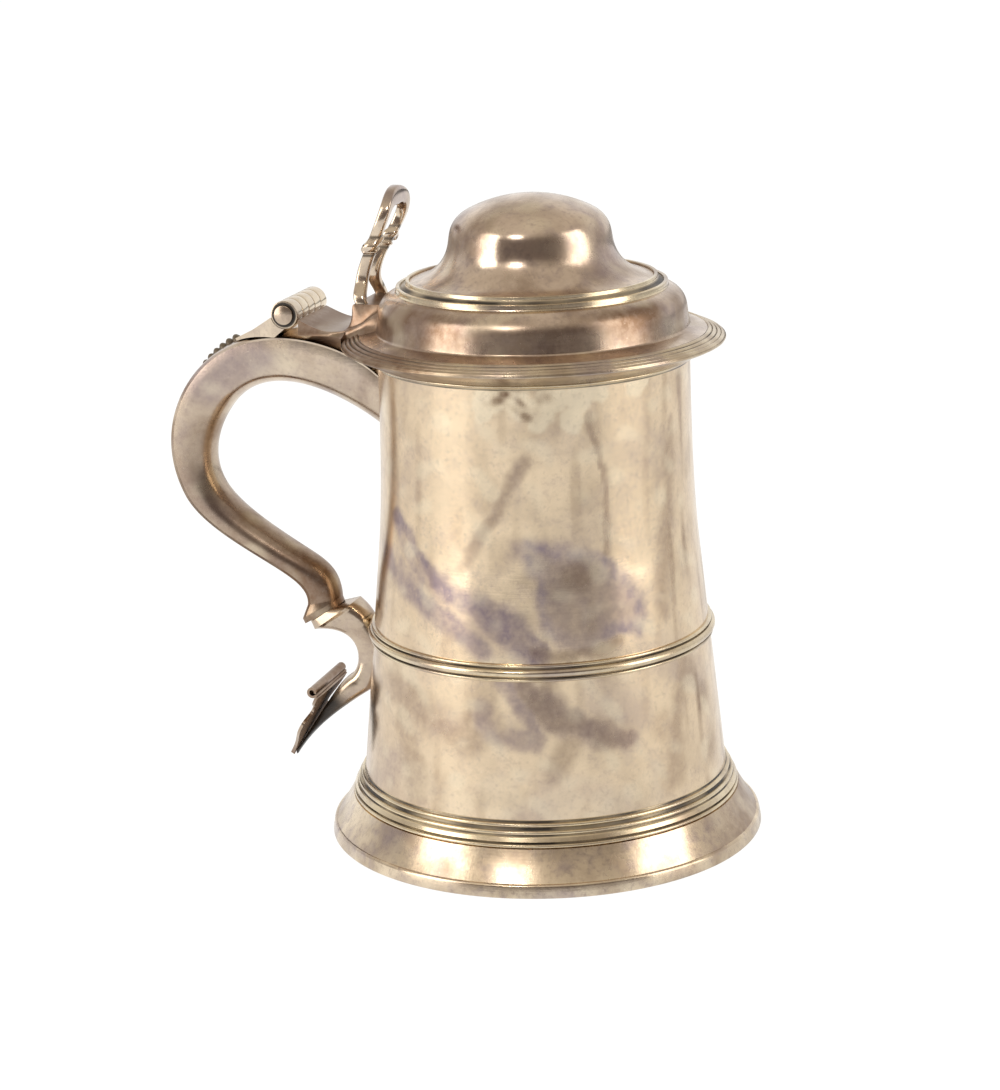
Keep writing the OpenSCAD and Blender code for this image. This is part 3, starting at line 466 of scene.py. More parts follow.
# Discs of pale residue: distance round, height, radius
RESIDUE = [(-26.5, 146, 6.5), (-28.5, 142, 4), (-18, 145, 6), (-10.6, 141.5, 5.5), (-6.5, 146, 6),
           (-1, 138, 5), (2, 145, 6), (7.5, 147, 5), (21.8, 147, 5), (25, 148.5, 4)]
FOOT_RESIDUE = [(-52, 28, 8), (-38, 25, 7), (-24.7, 27, 8), (-8.4, 25, 7), (5, 24, 6), (16, 25, 7)]


def inside_tarnish(p, seed=60):
    """Thin clouds of film inside the drum."""
    return clouded(p, seed, 0.15, 0.05, 0)


def drum_tarnish(p):
    """Tarnish of the drum: the greater of clouds, thicker at both sides and below the girdle, and of
    the marks listed above, each by its weights of violet and brown."""
    x = round_from(p, STAIN_WAY, DRUM_DEGREE) + wander(p, 5, 6, 9)
    z = p[:, 2] + wander(p, 7, 8, 11)
    film = clouded(p, 20, 0.13, 0.16, 0.32)
    film[:, :2] *= 1 + 1.2*(1 - smooth(z, 52, 66))[:, None]
    left = (1 - smooth(x, -62, -35))*smooth(x, -150, -110)
    right = smooth(x, 20, 46)*(1 - smooth(x, 80, 110))
    streaky = (0.2 + 0.3*right)*smooth(ripple(p*[1, 1, 0.1], 7, 45), 0.1, 1.0)
    film[:, 0] += 0.2*(1 - smooth(p[:, 2], 25, 62))*left
    film[:, 1] += 0.18*left + 0.16*right + streaky
    depth = depth_in(x, z, STAIN)
    stain = ragged(smooth(depth, -3, 3), p, 61, 0.12)
    rim = (1 - smooth(depth, 1.5, 7))*(1 - 0.8*blots(x, z, [(0, 70, 14)], 0.8))
    spot = blots(x, z, [(-0.7, 93.5, 8)], 0.95)
    wide = np.maximum(smear(x, z, STREAK, 5.5, 0.85), smear(x, z, STREAK[3:], 8, 0.85))
    streak = ragged(wide, p, 63, 0.15)
    under = ragged(smear(x, z, UNDER_STREAK, 8, 0.9), p, 65, 0.2)
    parting = 1 - 0.5*smear(x, z, PARTING, 2.0, 0.9)
    cross = ragged(smear(x, z, CROSS, 4.2, 0.98), p, 67, 0.2)
    wide = np.maximum(smear(x, z, RUN, 2.4, 0.95), 0.6*blots(x, z, [(6, 137, 5)], 0.9))
    run = ragged(wide, p, 69, 0.15)
    wide = np.maximum(smear(x, z, LOW, 6, 0.9), smear(x, z, LOW[1:5], 7.5, 0.85))
    low = ragged(wide, p, 71, 0.2)
    low_ring = ragged(smear(x, z, LOW_RING, 5, 0.95), p, 73, 0.22)
    wide = np.maximum(smear(x, z, OLIVE, 10, 0.98), smear(x, z, LEFT_EDGE, 9, 0.95))
    olive = ragged(wide, p, 75)
    gold = smear(x, z, GOLD, 3.5, 0.9)
    faint = np.maximum(smear(x, z, FAINT_HIGH, 7, 0.95), smear(x, z, FAINT_LOW, 6, 0.95))
    pale = np.maximum(0.55*blots(x, z, RESIDUE, 0.3), 0.15*blots(x, z, FOOT_RESIDUE, 0.3))
    smut = smear(x, z, SMUT, 6, 0.9)*np.clip(0.45 + 0.8*ripple(p, 5, 31), 0, 1)
    violet = np.maximum.reduce([
        stain*(0.5 + 0.3*rim), 0.85*streak*parting, 0.75*under*parting, 0.2*cross, 0.2*run, 0.55*low,
        0.6*low_ring, 0.12*olive, 0.1*faint])
    violet *= np.clip(0.95 + 0.25*ripple(p, 7, 81), 0.6, 1.1)
    brown = np.maximum.reduce([
        0.25*stain*(1 - rim) + 0.35*spot*stain, 0.16*streak, 0.14*under, 0.42*cross, 0.45*run, 0.45*low,
        0.15*low_ring, 0.42*olive, 0.5*gold, 0.9*smut, 0.45*faint])
    marks = np.column_stack([violet, brown, pale*(1 - smut)])
    outside = np.hypot(p[:, 0], p[:, 1]) > drum_r(p[:, 2]) - 0.4
    return np.where(outside[:, None], np.maximum(film, marks), inside_tarnish(p, 40))


outer = np.vstack([drum_line(DRUM_Z, EASE_Z, 110), drum_line(EASE_Z, MOUTH_Z - 0.2, 84)[1:]])
mouth = [[MOUTH_R - 0.2, MOUTH_Z], [MOUTH_R - 0.8, MOUTH_Z]]
inner = outer[::-1] - [SHEET, 0]
drum = turned_piece("drum", np.vstack([outer, mouth, inner[::4], inner[-1:]]), "tankard",
                    RAISED, 10, DRUM_AROUND, groove=0, tarnish=drum_tarnish)
row = np.arange(len(drum.data.polygons))//DRUM_AROUND
second_finish(drum, INSIDE, row > len(outer))

under = bow((0, 17.6), (32, 17.6), (53, 16.0), 24)
edge = [[55.85, 16.0], [55.75, 17.0]]
turned_piece("floor_plate", np.vstack([under, edge, under[::-1] + [0, SHEET]]), "tankard",
             INSIDE, 60, 200, tarnish=inside_tarnish)

band = [(64.6, 0), (67.05, 0), (67.5, 0.45), (66.9, 3.7), (66.45, 4.2), (64.6, 4.2)]
turned_piece("foot_rim", softened(band, 0.35), "tankard", DULL, 70)


def skirt_tarnish(p):
    """Clouds of film on the foot, thicker and brown on the side seen at the right."""
    right = smooth(p @ np.array([0.957, 0.289, 0]), 44, 60)
    return np.maximum(clouded(p, 80), np.column_stack([0.15*right, 0.6*right, 0*right]))


skirt = bow((66.0, 4.2), (62.95, 8.45), (60.6, 13.0), 30)
turned_piece("foot_skirt", np.vstack([skirt, skirt[::-1] - [SKIRT_SHEET, 0]]), "tankard",
             DULL, 80, tarnish=skirt_tarnish)


def reeded(z, base, wires):
    """Upper envelope of a base line and of round wires (height, centre radius, wire radius)."""
    r = base.copy()
    for zc, rc, w in wires:
        wire = rc + np.sqrt(np.maximum(w*w - (z - zc)**2, 0))
        r = np.maximum(r, np.where(np.abs(z - zc) < w, wire, 0))
    return r


COLLAR_LOW, COLLAR_TOP = 13.0, 20.5
FILLET_LOW, FILLET_TOP = 14.75, 16.4
z = np.linspace(COLLAR_LOW, COLLAR_TOP, 150)
base = np.interp(z, [13, 14.2, 14.6, 16.5, 18.0, 20.5], [59.9, 59.3, 59.35, 58.75, 57.6, 56.6])
face = reeded(z, base, [(13.62, 59.75, 0.62), (17.2, 58.15, 0.68), (19.2, 57.1, 0.66)])
fillet = np.interp(z, [FILLET_LOW, 15.0, 16.1, FILLET_TOP], [59.7, 59.95, 59.35, 58.95])
face = np.where((z > FILLET_LOW) & (z < FILLET_TOP), fillet, face)
ledge = [[56.44, 20.6], [56.9, 16], [53.9, 16], [53.9, 14.8], [59.2, 13]]
turned_piece("foot_collar", np.vstack([np.column_stack([face, z]), ledge]), "tankard",
             DRAWN, 90)

GIRDLE_LOW, GIRDLE_TOP, GIRDLE_OUT = 62.15, 67.45, 0.42
z = np.linspace(GIRDLE_LOW, GIRDLE_TOP, 110)
thin = [(zc, drum_r(zc) + GIRDLE_OUT, 0.55) for zc in (62.72, 66.88)]
face = reeded(z, drum_r(z) + GIRDLE_OUT, [(64.8, 52.5, 1.3), *thin])
turned_piece("girdle", np.vstack([np.column_stack([face, z]), drum_line(GIRDLE_TOP, GIRDLE_LOW, 4)]),
             "tankard", DRAWN, 100)

LIP_LOW = 148.2
cove = bow((47.4, LIP_LOW), (47.55, 149.2), (48.5, 149.25), 10)
nose = arc((48.5, 149.6), 0.35, -60, 90, 8)
seat = drum_line(MOUTH_Z, LIP_LOW, 4) + [0.05, 0]
turned_piece("lip_wire", np.vstack([cove, nose, [[48.2, MOUTH_Z]], seat]), "tankard",
             DRAWN, 110)

# Lid

RIM_R, RIM_Z = 58.2, 154.6
SHOULDER_R, SHOULDER_Z = 46.7, 159.9
OVOLO_Z, STEP_R, STEP_Z = 163.5, 41.3, 170.1
LEDGE_R, LEDGE_Z, SIDE_Z = 36.9, 173.1, 185.6
FLANGE_IN, REED_R = 47.9, 52.6
SLOPE = 4.4/(RIM_R - FLANGE_IN)
# The dome's crown passes into its rounded edge at this angle; the edge's radius and centre
TURN, TURN_R, TURN_CENTRE = 62, 9, 15.6
# Direction in degrees from which marks on the lid are placed, and mm per degree round its shoulder
LID_WAY, LID_DEGREE = -75, 0.815


def flange_z(r):
    """Top of the sloping flange at radius r."""
    return RIM_Z + SLOPE*(RIM_R - np.asarray(r, float))


crown_r = TURN_R + TURN_CENTRE/math.cos(math.radians(TURN))
crown_z = SIDE_Z - TURN_CENTRE*math.tan(math.radians(TURN))
dome = resampled(np.vstack([
    arc((0, crown_z), crown_r, 90, TURN, 26), arc((TURN_CENTRE, SIDE_Z), TURN_R, 60, 8, 30),
    bow((24.6, SIDE_Z - 0.4), (25.8, LEDGE_Z + 2.2), (LEDGE_R, LEDGE_Z), 46)]), 0.5)
lid_line = np.vstack([
    evened(dome, 5),
    bow((STEP_R, STEP_Z), (46.1, STEP_Z - 1.5), (46.65, OVOLO_Z + 0.5), 26),
    bow((46.75, OVOLO_Z - 0.2), (47.0, OVOLO_Z - 2.2), (47.3, OVOLO_Z - 4.3), 10),
    bow((47.33, 158.95), (47.45, 158.3), (48.1, 158.15), 8),
    np.linspace((48.6, 158.03), (REED_R, flange_z(REED_R)), 8)])
inside = beside(lid_line, SHEET)
inside[:, 0] = np.maximum(inside[:, 0], 0)
LID_BLOTS = [(-43, 167, 9), (-35, 165, 7), (37, 167, 8), (48, 164, 8), (-20, 166, 5)]


def lid_tarnish(p):
    """Clouds of film on the lid, a brown cast over the dome's side and the shoulder, violet blots on
    the shoulder's ends, brown in the cove under it."""
    x, z = round_from(p, LID_WAY, LID_DEGREE), p[:, 2]
    film = clouded(p, 130, 0.6, 0.5, 0.3) + [0.05, 0.1, 0]
    cast = 0.6*belt(z, 160, 167, 5) + 0.25*belt(z, 176, 192, 8)
    cast += 0.5*smooth(np.abs(x), 16, 32)*belt(z, 160, 168, 3)
    film[:, 1] = np.maximum(film[:, 1], cast*np.clip(0.7 + 0.6*ripple(p, 22, 133), 0, 1))
    blot = ragged(blots(x, z, LID_BLOTS, 0.9), p, 135)
    cove = belt(z, 158.2, 158.6, 1.2)
    return np.maximum(film, np.column_stack([0.55*blot, np.maximum(0.35*blot, 0.5*cove), 0*x]))


turned_piece("lid_shell", np.vstack([lid_line, inside[::-1]]), "lid", LID, 130,
             groove=0, tarnish=lid_tarnish)

steps = [
    (LEDGE_R, LEDGE_Z), (LEDGE_R, LEDGE_Z + 0.75), (LEDGE_R + 1, LEDGE_Z + 0.75),
    (LEDGE_R + 1, LEDGE_Z - 0.3), (LEDGE_R + 1.7, LEDGE_Z - 1.0), (STEP_R - 1.5, STEP_Z + 1.35),
    (STEP_R - 1.5, STEP_Z + 1.9), (STEP_R - 0.35, STEP_Z + 1.85), (STEP_R - 0.3, STEP_Z + 0.6),
    (STEP_R, STEP_Z)]
turned_piece("lid_step_moulding", softened(steps, 0.22, 5), "lid", DRAWN, 140)


def rim_tarnish(p):
    """Clouds of film on the flange, brown on the handle's half."""
    film = clouded(p, 150) + [0.1, 0.2, 0]
    film[:, 1] += 0.75*smooth(-p[:, 0], -5, 30)
    return film


REED_HALF, REED_SUNK = 0.62, 0.12
r = np.linspace(REED_R, 57.9, 130)
reeds = np.zeros_like(r)
for rc in (53.4, 54.75, 56.1, 57.25):
    reeds = np.maximum(reeds, np.sqrt(np.maximum(REED_HALF**2 - (r - rc)**2, 0)) - REED_SUNK)
flange = np.column_stack([r, flange_z(r) - 0.08 + reeds])
underside = [[57.4, 153.75], [56.3, 153.15], [53.9, 152.3], [50.2, 150.3], [47, 150.3], [47, 151.7],
             [50.2, 151.7], [54.2, 153.7], [51, 155.4], [51, 156.2], [52.6, 155.9]]
turned_piece("lid_rim_moulding", np.vstack([flange, arc((57.65, 154.4), 0.55, 40, -50, 10), underside]),
             "lid", DRAWN, 150, tarnish=rim_tarnish)

bezel = [(44.4, 146.5), (45.3, 146.5), (45.3, 156.9), (45.65, 158.4), (45.65, 162.4), (44.75, 162.4),
         (44.75, 158.4), (44.4, 156.9)]
turned_piece("lid_bezel", softened(bezel, 0.2), "lid", RAISED, 160, 220)

# Handle

REACH, DROP, HANDLE_Z = 70.7, 92.0, 155.0
TOP_WIDTH, LOW_WIDTH = 20, 12
# Crown of the back strip, the lip's widening, and the gap left to the drum
CROWN, LIP_WIDEN, CLEAR = 0.5, 1.12, 0.05


def hp(out, down):
    """Side view point of the handle: shares of its reach beyond the mouth and of its drop."""
    return (MOUTH_R + out*REACH, HANDLE_Z - down*DROP)


BACK = [hp(0, 0.115), hp(0.20, -0.015), hp(0.63, -0.058), hp(0.852, 0.132), hp(0.98, 0.24),
        hp(1.05, 0.40), hp(0.944, 0.57), hp(0.88, 0.67), hp(0.69, 0.745), hp(0.548, 0.81),
        hp(0.45, 0.855), hp(0.385, 0.89), hp(0.395, 0.945)]
INNER = [hp(0, 0.32), hp(0.17, 0.22), hp(0.52, 0.085), hp(0.717, 0.25), hp(0.80, 0.32),
         hp(0.875, 0.445), hp(0.79, 0.548), hp(0.73, 0.618), hp(0.60, 0.682), hp(0.462, 0.746),
         hp(0.35, 0.797), hp(0.27, 0.82), hp(0.26, 0.925)]
BACK_LIP, INNER_LIP = np.array(hp(0.419, 0.993)), np.array(hp(0.262, 0.926))
LIP_SHIFT = np.array([-0.7, -1.7])


def handle_rings(section, count=170, lip=12):
    """Rings of the handle: a section (depth, sideways) as a function of depth and half width, carried
    from the back line towards the inner line. The first ring is moved along the handle on to the
    drum, the last ones flare to the lip."""
    u = np.linspace(0, 4, count)
    b, i = cubic(BACK, u), cubic(INNER, u)
    d = np.linalg.norm(i - b, axis=1)
    w = (TOP_WIDTH - (TOP_WIDTH - LOW_WIDTH)*u/4)/2
    s = section(d[:, None], w[:, None])
    side = b[:, None] + s[..., :1]*unit(i - b)[:, None]
    rings = placed(side, s[..., 1])
    t = unit(np.array(BACK[1]) - np.array(BACK[0]))
    p = rings[0]
    for _ in range(3):
        gap = -p[:, 0] - (np.sqrt(drum_r(p[:, 2])**2 - p[:, 1]**2) + CLEAR)
        p = p - gap[:, None]*np.array([-t[0], 0, t[1]])/t[0]
    rings[0] = p
    k = np.linspace(0, 1, lip + 1)[1:, None, None]
    cut = INNER_LIP - BACK_LIP
    end = BACK_LIP + s[-1][:, :1]*unit(cut)*np.linalg.norm(cut)/d[-1]
    wide = placed(end, s[-1][:, 1]*LIP_WIDEN)
    flare = rings[-1] + (wide - rings[-1])*k**1.25
    edge = [placed(end + g*LIP_SHIFT, s[-1][:, 1]*(LIP_WIDEN - 0.034*g)) for g in (0.15, 0.5, 1.0)]
    return np.concatenate([rings, flare, edge])


def channel_section(d, w):
    """Sides that start inside the back strip, run straight in for 0.15 of the depth, then round over to
    the inner face as sine and cosine to the power 0.9."""
    g = np.radians(np.linspace(0, 180, 61))[None]
    c, h = squared(np.cos(g), 0.9), np.sin(g)**0.9
    a = np.concatenate([0.8 + 0*d, 1.0 + 0.15*d + (0.85*d - 1.0)*h, 0.8 + 0*d], 1)
    y = np.concatenate([0.975*w, w*c, -0.975*w], 1)
    return np.stack(np.broadcast_arrays(a, y), -1)


def back_section(d, w):
    """Flat below, crowned above, with softly rounded edges; the depth d isn't needed."""
    s = np.linspace(-1, 1, 25)[None]
    top = 0.1 - (CROWN + 0.1)*(1 - s*s) + 0.25*np.abs(s)**24
    a = np.concatenate([1.0 + 0*w, 1.0 + 0*w, top + 0*w], 1)
    y = np.concatenate([-0.985*w, 0.985*w, -w*s], 1)
    return np.stack(np.broadcast_arrays(a, y), -1)


def handle_piece(name, section, seed):
    """A piece of the handle: brown film that thickens downwards, violet clouds."""
    shape = skinned(handle_rings(section))
    z = shape[0][:, 2]
    low, knee = 1 - smooth(z, 100, 150), 1 - smooth(z, 78, 92)
    base = np.column_stack([0.08 + 0.1*low, 0.1 + 0.42*low + 0.35*knee, 0*z])
    film = clouded(shape[0], seed, 0.5, 0.45, 0.3) + base
    piece(name, shape, "tankard", CAST, film)


handle_piece("handle_channel", channel_section, 200)
handle_piece("handle_back", back_section, 210)


def on_back(u, h):
    """Point of the handle's crowned back at u, raised by h."""
    b, i = cubic(BACK, u), cubic(INNER, u)
    return b + (CROWN + 0.05 + h)[:, None]*unit(b - i)


LEAF_END = 0.525 + 18/77
BEADS = 6


def drop_rings(n=145):
    """Rings of the drop below the standing leaf: half rounds that swell into ever smaller beads."""
    s = np.linspace(0, 1, n)
    notch = np.abs(np.sin(np.pi*BEADS*s))
    wide = 2.5*(1 - 0.7*s)*(0.45 + 0.55*notch)
    high = 2.0*(1 - 0.5*s)*(0.35 + 0.65*notch)
    u = LEAF_END + 0.012 + 0.24*s
    lines = [placed(on_back(u, -0.3 + (0.3 + high)*math.sin(a)), wide*math.cos(a))
             for a in np.radians(np.linspace(0, 180, 13))]
    return np.stack(lines, 1)


drop = drop_rings()
skin_piece("handle_drop_ornament", drop, "tankard", DRAWN, 220, 50,
           patina_and_shade=np.full(drop[..., 0].size, 0.75), film=(0.3, 0.9, 0))

# Lower scroll and terminal

SCROLL_Z, SCROLL_H, SCROLL_T = 60.3, 21.0, 7.0
LOW_Z = SCROLL_Z - SCROLL_H
LEAN_DEGREES, HEART_L, HEART_HALF, ROLL_R = 31, 28.9, 13.8, 2.0
LEAN = math.radians(LEAN_DEGREES)
ROLL = np.array([float(drum_r(LOW_Z)) + 17.5, LOW_Z + 0.115*SCROLL_H])
DOWN = np.array([math.sin(LEAN), -math.cos(LEAN)])
INWARD = np.array([-math.cos(LEAN), -math.sin(LEAN)])
HEART_TOP = ROLL + ROLL_R*INWARD


def by_drum(out, down):
    """Side view point off the drum: shares of the scroll's thickness and height."""
    z = SCROLL_Z - down*SCROLL_H
    return np.array([float(drum_r(z)) + out*SCROLL_T, z])


def on_plate(v, inward):
    """Side view point behind the heart-shaped plate: shares of its length down it and inwards."""
    return HEART_TOP + HEART_L*(v*DOWN + inward*INWARD)


LIP_CUT = unit(INNER_LIP - BACK_LIP)
TOP_O, TOP_I = BACK_LIP + LIP_SHIFT + 0.8*LIP_CUT, INNER_LIP + LIP_SHIFT - 0.8*LIP_CUT
RIDGE_O = BACK_LIP + LIP_SHIFT + 3.3*np.array([-0.63, -0.78])
RIDGE_I = INNER_LIP + LIP_SHIFT + 3.3*np.array([-1.4, 0.33])
OUTER = [RIDGE_O, RIDGE_O + SCROLL_T*np.array([-0.5, 0.08]), by_drum(1.4, 0), by_drum(1.04, 0.324),
         by_drum(0.88, 0.471), by_drum(0.936, 0.667), by_drum(1.35, 0.757),
         by_drum(1.74, 0.843), on_plate(0.062, 0.078), on_plate(0.93, 0.028)]
NEAR = [RIDGE_I, by_drum(0.6, -0.3), by_drum(0.34, -0.08), by_drum(-0.07, 0.13),
        by_drum(-0.17, 0.4), by_drum(-0.17, 0.75), by_drum(0.11, 0.92),
        by_drum(0.69, 1.06), on_plate(0.45, 0.066), on_plate(0.96, 0.055)]
# Half widths of the scroll and of its start, then shares of the first by place along the lines
SCROLL_HALF, START_HALF = 6, 6.05
WIDTH_AT = [0, 0.1, 0.6, 1.4, 2, 2.35, 2.7, 3]
WIDTHS = [1.19, 1.06, 0.9, 0.86, 1, 1.1, 0.72, 0.17]


def scroll_rings(count=170, around=44):
    """Rings of the scroll and its painted shade, darker near the heart-shaped plate where the plate
    shades it. A ring is a squared circle (power 0.6) between the outer and the near line; it is kept off
    the drum and behind the heart-shaped plate. The first six lead from the handle's lip to the ridge
    below it."""
    u = np.linspace(0, 3, count)
    k = np.linspace(0, 1, 6, endpoint=False)[:, None]
    outer = np.vstack([TOP_O + k*(RIDGE_O - TOP_O), cubic(OUTER, u)])
    near = np.vstack([TOP_I + k*(RIDGE_I - TOP_I), cubic(NEAR, u)])
    w = SCROLL_HALF*np.interp(u, WIDTH_AT, WIDTHS)
    w = np.concatenate([START_HALF + k[:, 0]*(w[0] - START_HALF), w])
    g = np.radians(np.linspace(0, 360, around, endpoint=False))
    share = (0.5 - 0.5*squared(np.cos(g), 0.6))[None, :, None]
    y = w[:, None]*squared(np.sin(g), 0.6)
    side = outer[:, None] + share*(near - outer)[:, None]
    side[..., 0] = np.maximum(side[..., 0], np.sqrt(drum_r(side[..., 1])**2 - y*y) + CLEAR)
    depth = (side - HEART_TOP) @ INWARD
    lift = np.where((side - HEART_TOP) @ DOWN > 0, np.maximum(0, 0.75 - depth), 0)
    side = side + lift[..., None]*INWARD
    # Painted shade: the scroll is darkened near the heart-shaped plate, where the plate and its roll
    # shade it; it uses the same weights as the crust in hollows
    painted_shade = 1 - smooth((side - HEART_TOP) @ INWARD, 4, 15)
    painted_shade *= smooth((side - HEART_TOP) @ DOWN, -4, 3)
    return placed(side, y), painted_shade


rings, painted_shade = scroll_rings()
# The scroll's painted shade near the plate goes in as its patina weights
skin_piece("handle_scroll", rings, "tankard", CAST, 230, 30,
           patina_and_shade=painted_shade.ravel(), film=(0.75, 0.5, 0.15))

# Half outline of the heart: half width, share of the length
HALF = [(HEART_HALF, 0.02), (13.2, 0.21), (7, 0.193), (7, 0.302), (7, 0.386), (11.4, 0.358),
        (11.4, 0.456), (11.4, 0.614), (4, 0.7), (0.02, 1)]


def heart_shape(rows=90, turns=60):
    """Heart-shaped plate, thinner towards its edges, with its top edge rolled into a spiral, and which
    of its faces lie on the plate's inner side."""
    half = cubic(HALF, np.linspace(0, 3, rows))*[1, HEART_L]
    c = np.linspace(-1, 1, 25)
    across = np.concatenate([c, c[::-1]])
    thick = np.concatenate([0.7 - 0.25*np.abs(c)**6, -0.7 + 0.25*np.abs(c[::-1])**6])
    side = HEART_TOP + half[:, None, 1:]*DOWN + thick[None, :, None]*INWARD
    plate = skinned(placed(side, half[:, :1]*across[None]))
    angle = math.pi + np.radians(np.linspace(LEAN_DEGREES, LEAN_DEGREES + 350, turns))
    spiral = np.linspace(ROLL_R, 1.35, turns)
    way = np.column_stack([np.cos(angle), np.sin(angle)])
    coil = np.vstack([spiral[:, None]*way, ((spiral - 0.8)[:, None]*way)[::-1]])
    ends = np.array([-HEART_HALF, -13.7, -13.4, 13.4, 13.7, HEART_HALF])
    rolled = skinned(placed(np.broadcast_to(ROLL + coil, (len(ends), *coil.shape)), ends[:, None]))
    shape = joined(plate, rolled)
    middles = shape[0][shape[1]].mean(1)[:, [0, 2]]*[-1, 1] - HEART_TOP
    inner = (middles @ INWARD > 0.2) & (np.arange(len(middles)) < len(plate[1]))
    return shape, np.concatenate([inner, np.zeros(len(shape[2]), bool)])


heart, inner_side = heart_shape()
film = clouded(heart[0], 240, 0.4, 0.5, 0) + [0.1, 0.45, 0]
terminal = piece("terminal_heart", heart, "tankard", CAST, film)
# The plate's inner side, facing the drum, gets the near-black matt finish: partly crust, partly painted
# shade
second_finish(terminal, CRUST_AND_SHADE, inner_side)

# Hinge

HINGE = np.array([75.2, 162.3])
BARREL_R, BORE_R, PIN_R, CAP_R = 4.3, 1.55, 1.5, 3.0
BARREL_HALF, PIN_HALF, CAP_HALF = 13.1, 13.2, 14.0
KNUCKLE_PITCH, KNUCKLE_L = 5.28, 5.08


def along_pin(outline, around=72):
    """Closed outline (radius, distance along the pin) turned about the hinge line."""
    a = np.linspace(0, 2*np.pi, around, endpoint=False)
    r, y = outline[:, :1], outline[:, 1:]
    p = np.stack([-HINGE[0] + r*np.cos(a), y + 0*a, HINGE[1] + r*np.sin(a)], -1)
    return p.reshape(-1, 3), ring_quads(len(outline), around), []


def knuckle(number):
    """Bored knuckle with rounded edges, by its number from one end."""
    y0 = number*KNUCKLE_PITCH - BARREL_HALF
    y1 = y0 + KNUCKLE_L
    radii = (BORE_R, 3.1, 3.6, BARREL_R)
    return along_pin(softened([(r, y0) for r in radii] + [(r, y1) for r in radii[::-1]], 0.25))


def knuckle_piece(name, body, shape, seed):
    """Knuckles with painted shade on their end faces round the closing discs, where the caps shade them.
    """
    points = shape[0]
    r = np.hypot(points[:, 0] + HINGE[0], points[:, 2] - HINGE[1])
    # Painted shade: a dark ring on the knuckles' end faces round the caps
    dark_crust_and_shade = np.where(np.abs(points[:, 1]) > 13.0, 1 - smooth(r, 3.7, 4.15), 0)
    film = clouded(points, seed, 0.15, 0.2, 0.3) + [0, 0, 0.25]
    piece(name, shape, body, CAST, film, dark_crust_and_shade)


knuckle_piece("fixed_knuckles", "tankard", joined(knuckle(0), knuckle(2), knuckle(4)), 250)
knuckle_piece("lid_knuckles", "lid", joined(knuckle(1), knuckle(3)), 260)


def disc(y0, y1, r):
    """Solid disc on the hinge line with rounded edges."""
    e = min(0.25, 0.4*(y1 - y0))
    return along_pin(np.array([
        (0.001, y0), (r - e, y0), (r - 0.3*e, y0 + 0.3*e), (r, y0 + e),
        (r, y1 - e), (r - 0.3*e, y1 - 0.3*e), (r - e, y1), (0.001, y1)]), 64)


pin = disc(-PIN_HALF, PIN_HALF, PIN_R)
piece("hinge_pin", pin, "tankard", CAST, clouded(pin[0], 270, 0.2, 0.3, 0.3))
caps = joined(disc(-CAP_HALF, -PIN_HALF, CAP_R), disc(PIN_HALF, CAP_HALF, CAP_R))
film = clouded(caps[0], 280, 0.2, 0.3, 0.3) + [0, 0.3, 0]
piece("hinge_end_caps", caps, "tankard", CAST, film)

# Thumbpiece

THUMB_H, THUMB_LEAN, THUMB_DEEP = 34.8, 8.8, 1.85
PAD_Z = SHOULDER_Z + 5.8
THUMB = np.array([51.2, PAD_Z + 0.05])
# Line of one strap: sideways, share of the height; heights of its collar and of the ring below it
STRAP = [(9.2, 0), (9.2, 0.1), (5.4, 0.1), (5.4, 0.24), (5.4, 0.4), (6.7, 0.46), (7.3, 0.54),
         (10.2, 0.64), (11.4, 0.93), (0, 1 - 3/THUMB_H)]
COLLAR_AT, RING_AT = 0.54, 0.455


def bump(x, half):
    """Rounded hump of height 1 and half width half."""
    return np.where(np.abs(x) < half, np.cos(np.pi/2*np.minimum(np.abs(x)/half, 1)), 0)


def strap_rings(n=240, around=28):
    """Rings of one side of the thumbpiece and their patina: a squared bar (power 0.4) carried up the
    strap's line, with a pointed collar and a smaller ring below it, widened into the crest, and bent
    to the leaning side view."""
    u = np.linspace(0, 3, n)
    c = cubic(STRAP, u)
    run = unit((cubic(STRAP, u + 0.01) - cubic(STRAP, np.maximum(u - 0.01, 0)))*[1, THUMB_H])
    crest = np.maximum(0, u - 2)
    ring = np.maximum(bump(c[:, 1] - COLLAR_AT, 0.035), bump(c[:, 1] - RING_AT, 0.018))
    grow = 1.35 + 1.65*crest**2 + 0.4*ring
    horn = 3*np.maximum(0, 1 - np.abs(c[:, 1] - COLLAR_AT)/0.05)
    deep = THUMB_DEEP*(1 - 0.15*crest + 0.3*ring)
    g = np.linspace(0, 2*np.pi, around, endpoint=False)
    a, b = squared(np.cos(g), 0.4), squared(np.sin(g), 0.4)
    d = grow[:, None]*a + horn[:, None]*np.maximum(a, 0)
    y = c[:, :1] + d*run[:, 1:]
    s = c[:, 1:] - d*run[:, :1]/THUMB_H
    lean = THUMB_LEAN*(3*s*(1 - s)**2*0.57 - 3*s*s*(1 - s)*1.31 - s**3)
    grooves = ((0.493, 0.022), (0.595, 0.022), (0.42, 0.018))
    dark_crust_and_shade = 0.8*np.maximum.reduce([bump(c[:, 1:] - at, half) for at, half in grooves])
    side = THUMB + np.stack([lean + deep[:, None]*b, s*THUMB_H], -1)
    return placed(side, y), np.broadcast_to(dark_crust_and_shade, s.shape)


one, dark_crust_and_shade = strap_rings()
other = one[::-1]*np.array([1, -1, 1])
skin_piece("thumbpiece", np.concatenate([one, other[1:]]), "lid", CAST, 300, 40,
           patina_and_shade=np.concatenate([dark_crust_and_shade, dark_crust_and_shade[::-1][1:]]).ravel(),
           film=(0.5, 0.3, 0.3), base=(0.05, 0, 0))

# Lid's hinge plate

PLATE_LOW = RIM_Z + 1.4
PLATE_TOP = PLATE_LOW + 1.4
